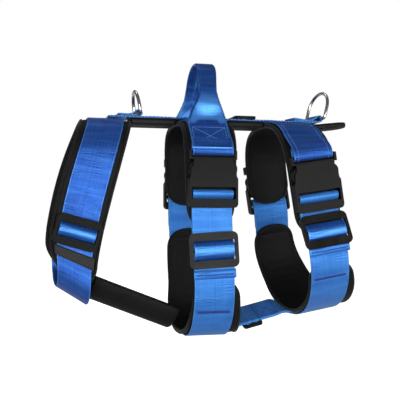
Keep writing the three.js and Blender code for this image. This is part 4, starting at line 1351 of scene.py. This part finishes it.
def new_aimed(name, data, place, direction):
    """An object at a place, looking along a direction."""
    made = new_object(name, data)
    made.location = place
    made.rotation_mode = "QUATERNION"
    made.rotation_quaternion = direction.to_track_quat("-Z", "Y")
    return made


def make_lights():
    middle = (cad_low + cad_high) / 2
    for name, (place, target, size, power) in LIGHTS.items():
        data = bpy.data.lights.new(name, "AREA")
        set_all(data, {"shape": "DISK", "size": size, "energy": power})
        new_aimed(name, data, middle + Vector(place), Vector(target) - Vector(place))


def make_studio():
    """White surroundings and a white floor, both dim to everything but the camera."""
    scene = bpy.context.scene
    world = bpy.data.worlds.new("studio")
    world.use_nodes = True
    tree = world.node_tree
    background = tree.nodes["Background"]
    path = tree.nodes.new("ShaderNodeLightPath")
    strength = tree.nodes.new("ShaderNodeMapRange")
    strength.inputs[3].default_value = DIM_WORLD
    tree.links.new(path.outputs["Is Camera Ray"], strength.inputs[0])
    tree.links.new(strength.outputs[0], background.inputs["Strength"])
    background.inputs["Color"].default_value = (1, 1, 1, 1)
    scene.world = world
    scene.view_settings.view_transform = "Standard"
    bpy.ops.mesh.primitive_plane_add(size=30, location=(0, 0, cad_low.z - FLOOR_DEPTH))
    floor = bpy.context.object
    floor.name = "floor"
    pale = Nodes("pale_floor")
    grain = pale.noise(pale.place(), 3.0, 2.0)
    tone = pale.mix(grain, (0.93, 0.93, 0.93, 1), (0.96, 0.96, 0.96, 1))
    seen = pale.add("ShaderNodeLightPath").outputs["Is Camera Ray"]
    floor.data.materials.append(pale.finish(
        Base_Color=tone, Roughness=0.9, Emission_Color=(1, 1, 1, 1),
        Emission_Strength=pale.remap(seen, 0, 1, DIM_FLOOR, 1.0)))


def make_camera():
    """Level, about a metre away, at the dog's front left."""
    data = bpy.data.cameras.new("camera")
    set_all(data, CAMERA)
    direction = Vector((math.sin(CAMERA_AZIMUTH), math.cos(CAMERA_AZIMUTH), 0))
    bpy.context.scene.camera = new_aimed("camera", data, CAMERA_PLACE, direction)


make_loop_pads()
make_spine()
make_tail()
chest_pieces = make_chest()
swell_pads()
for soft, _, _ in swelling:
    set_all(soft.modifiers.new("fine", "SUBSURF"), {"levels": 1, "render_levels": 1})
join_chest(*chest_pieces)
make_loop_webbing()
make_neck_webbing()
make_slide_turns()
make_handle()
make_ring("d_ring_front", FRONT_RING)
make_ring("d_ring_rear", REAR_RING)
make_ring_loop("d_ring_front_loop", FRONT_RING)
make_ring_loop("d_ring_rear_loop", REAR_RING)
make_belly()
make_hard_parts()
make_studio()
make_lights()
make_camera()
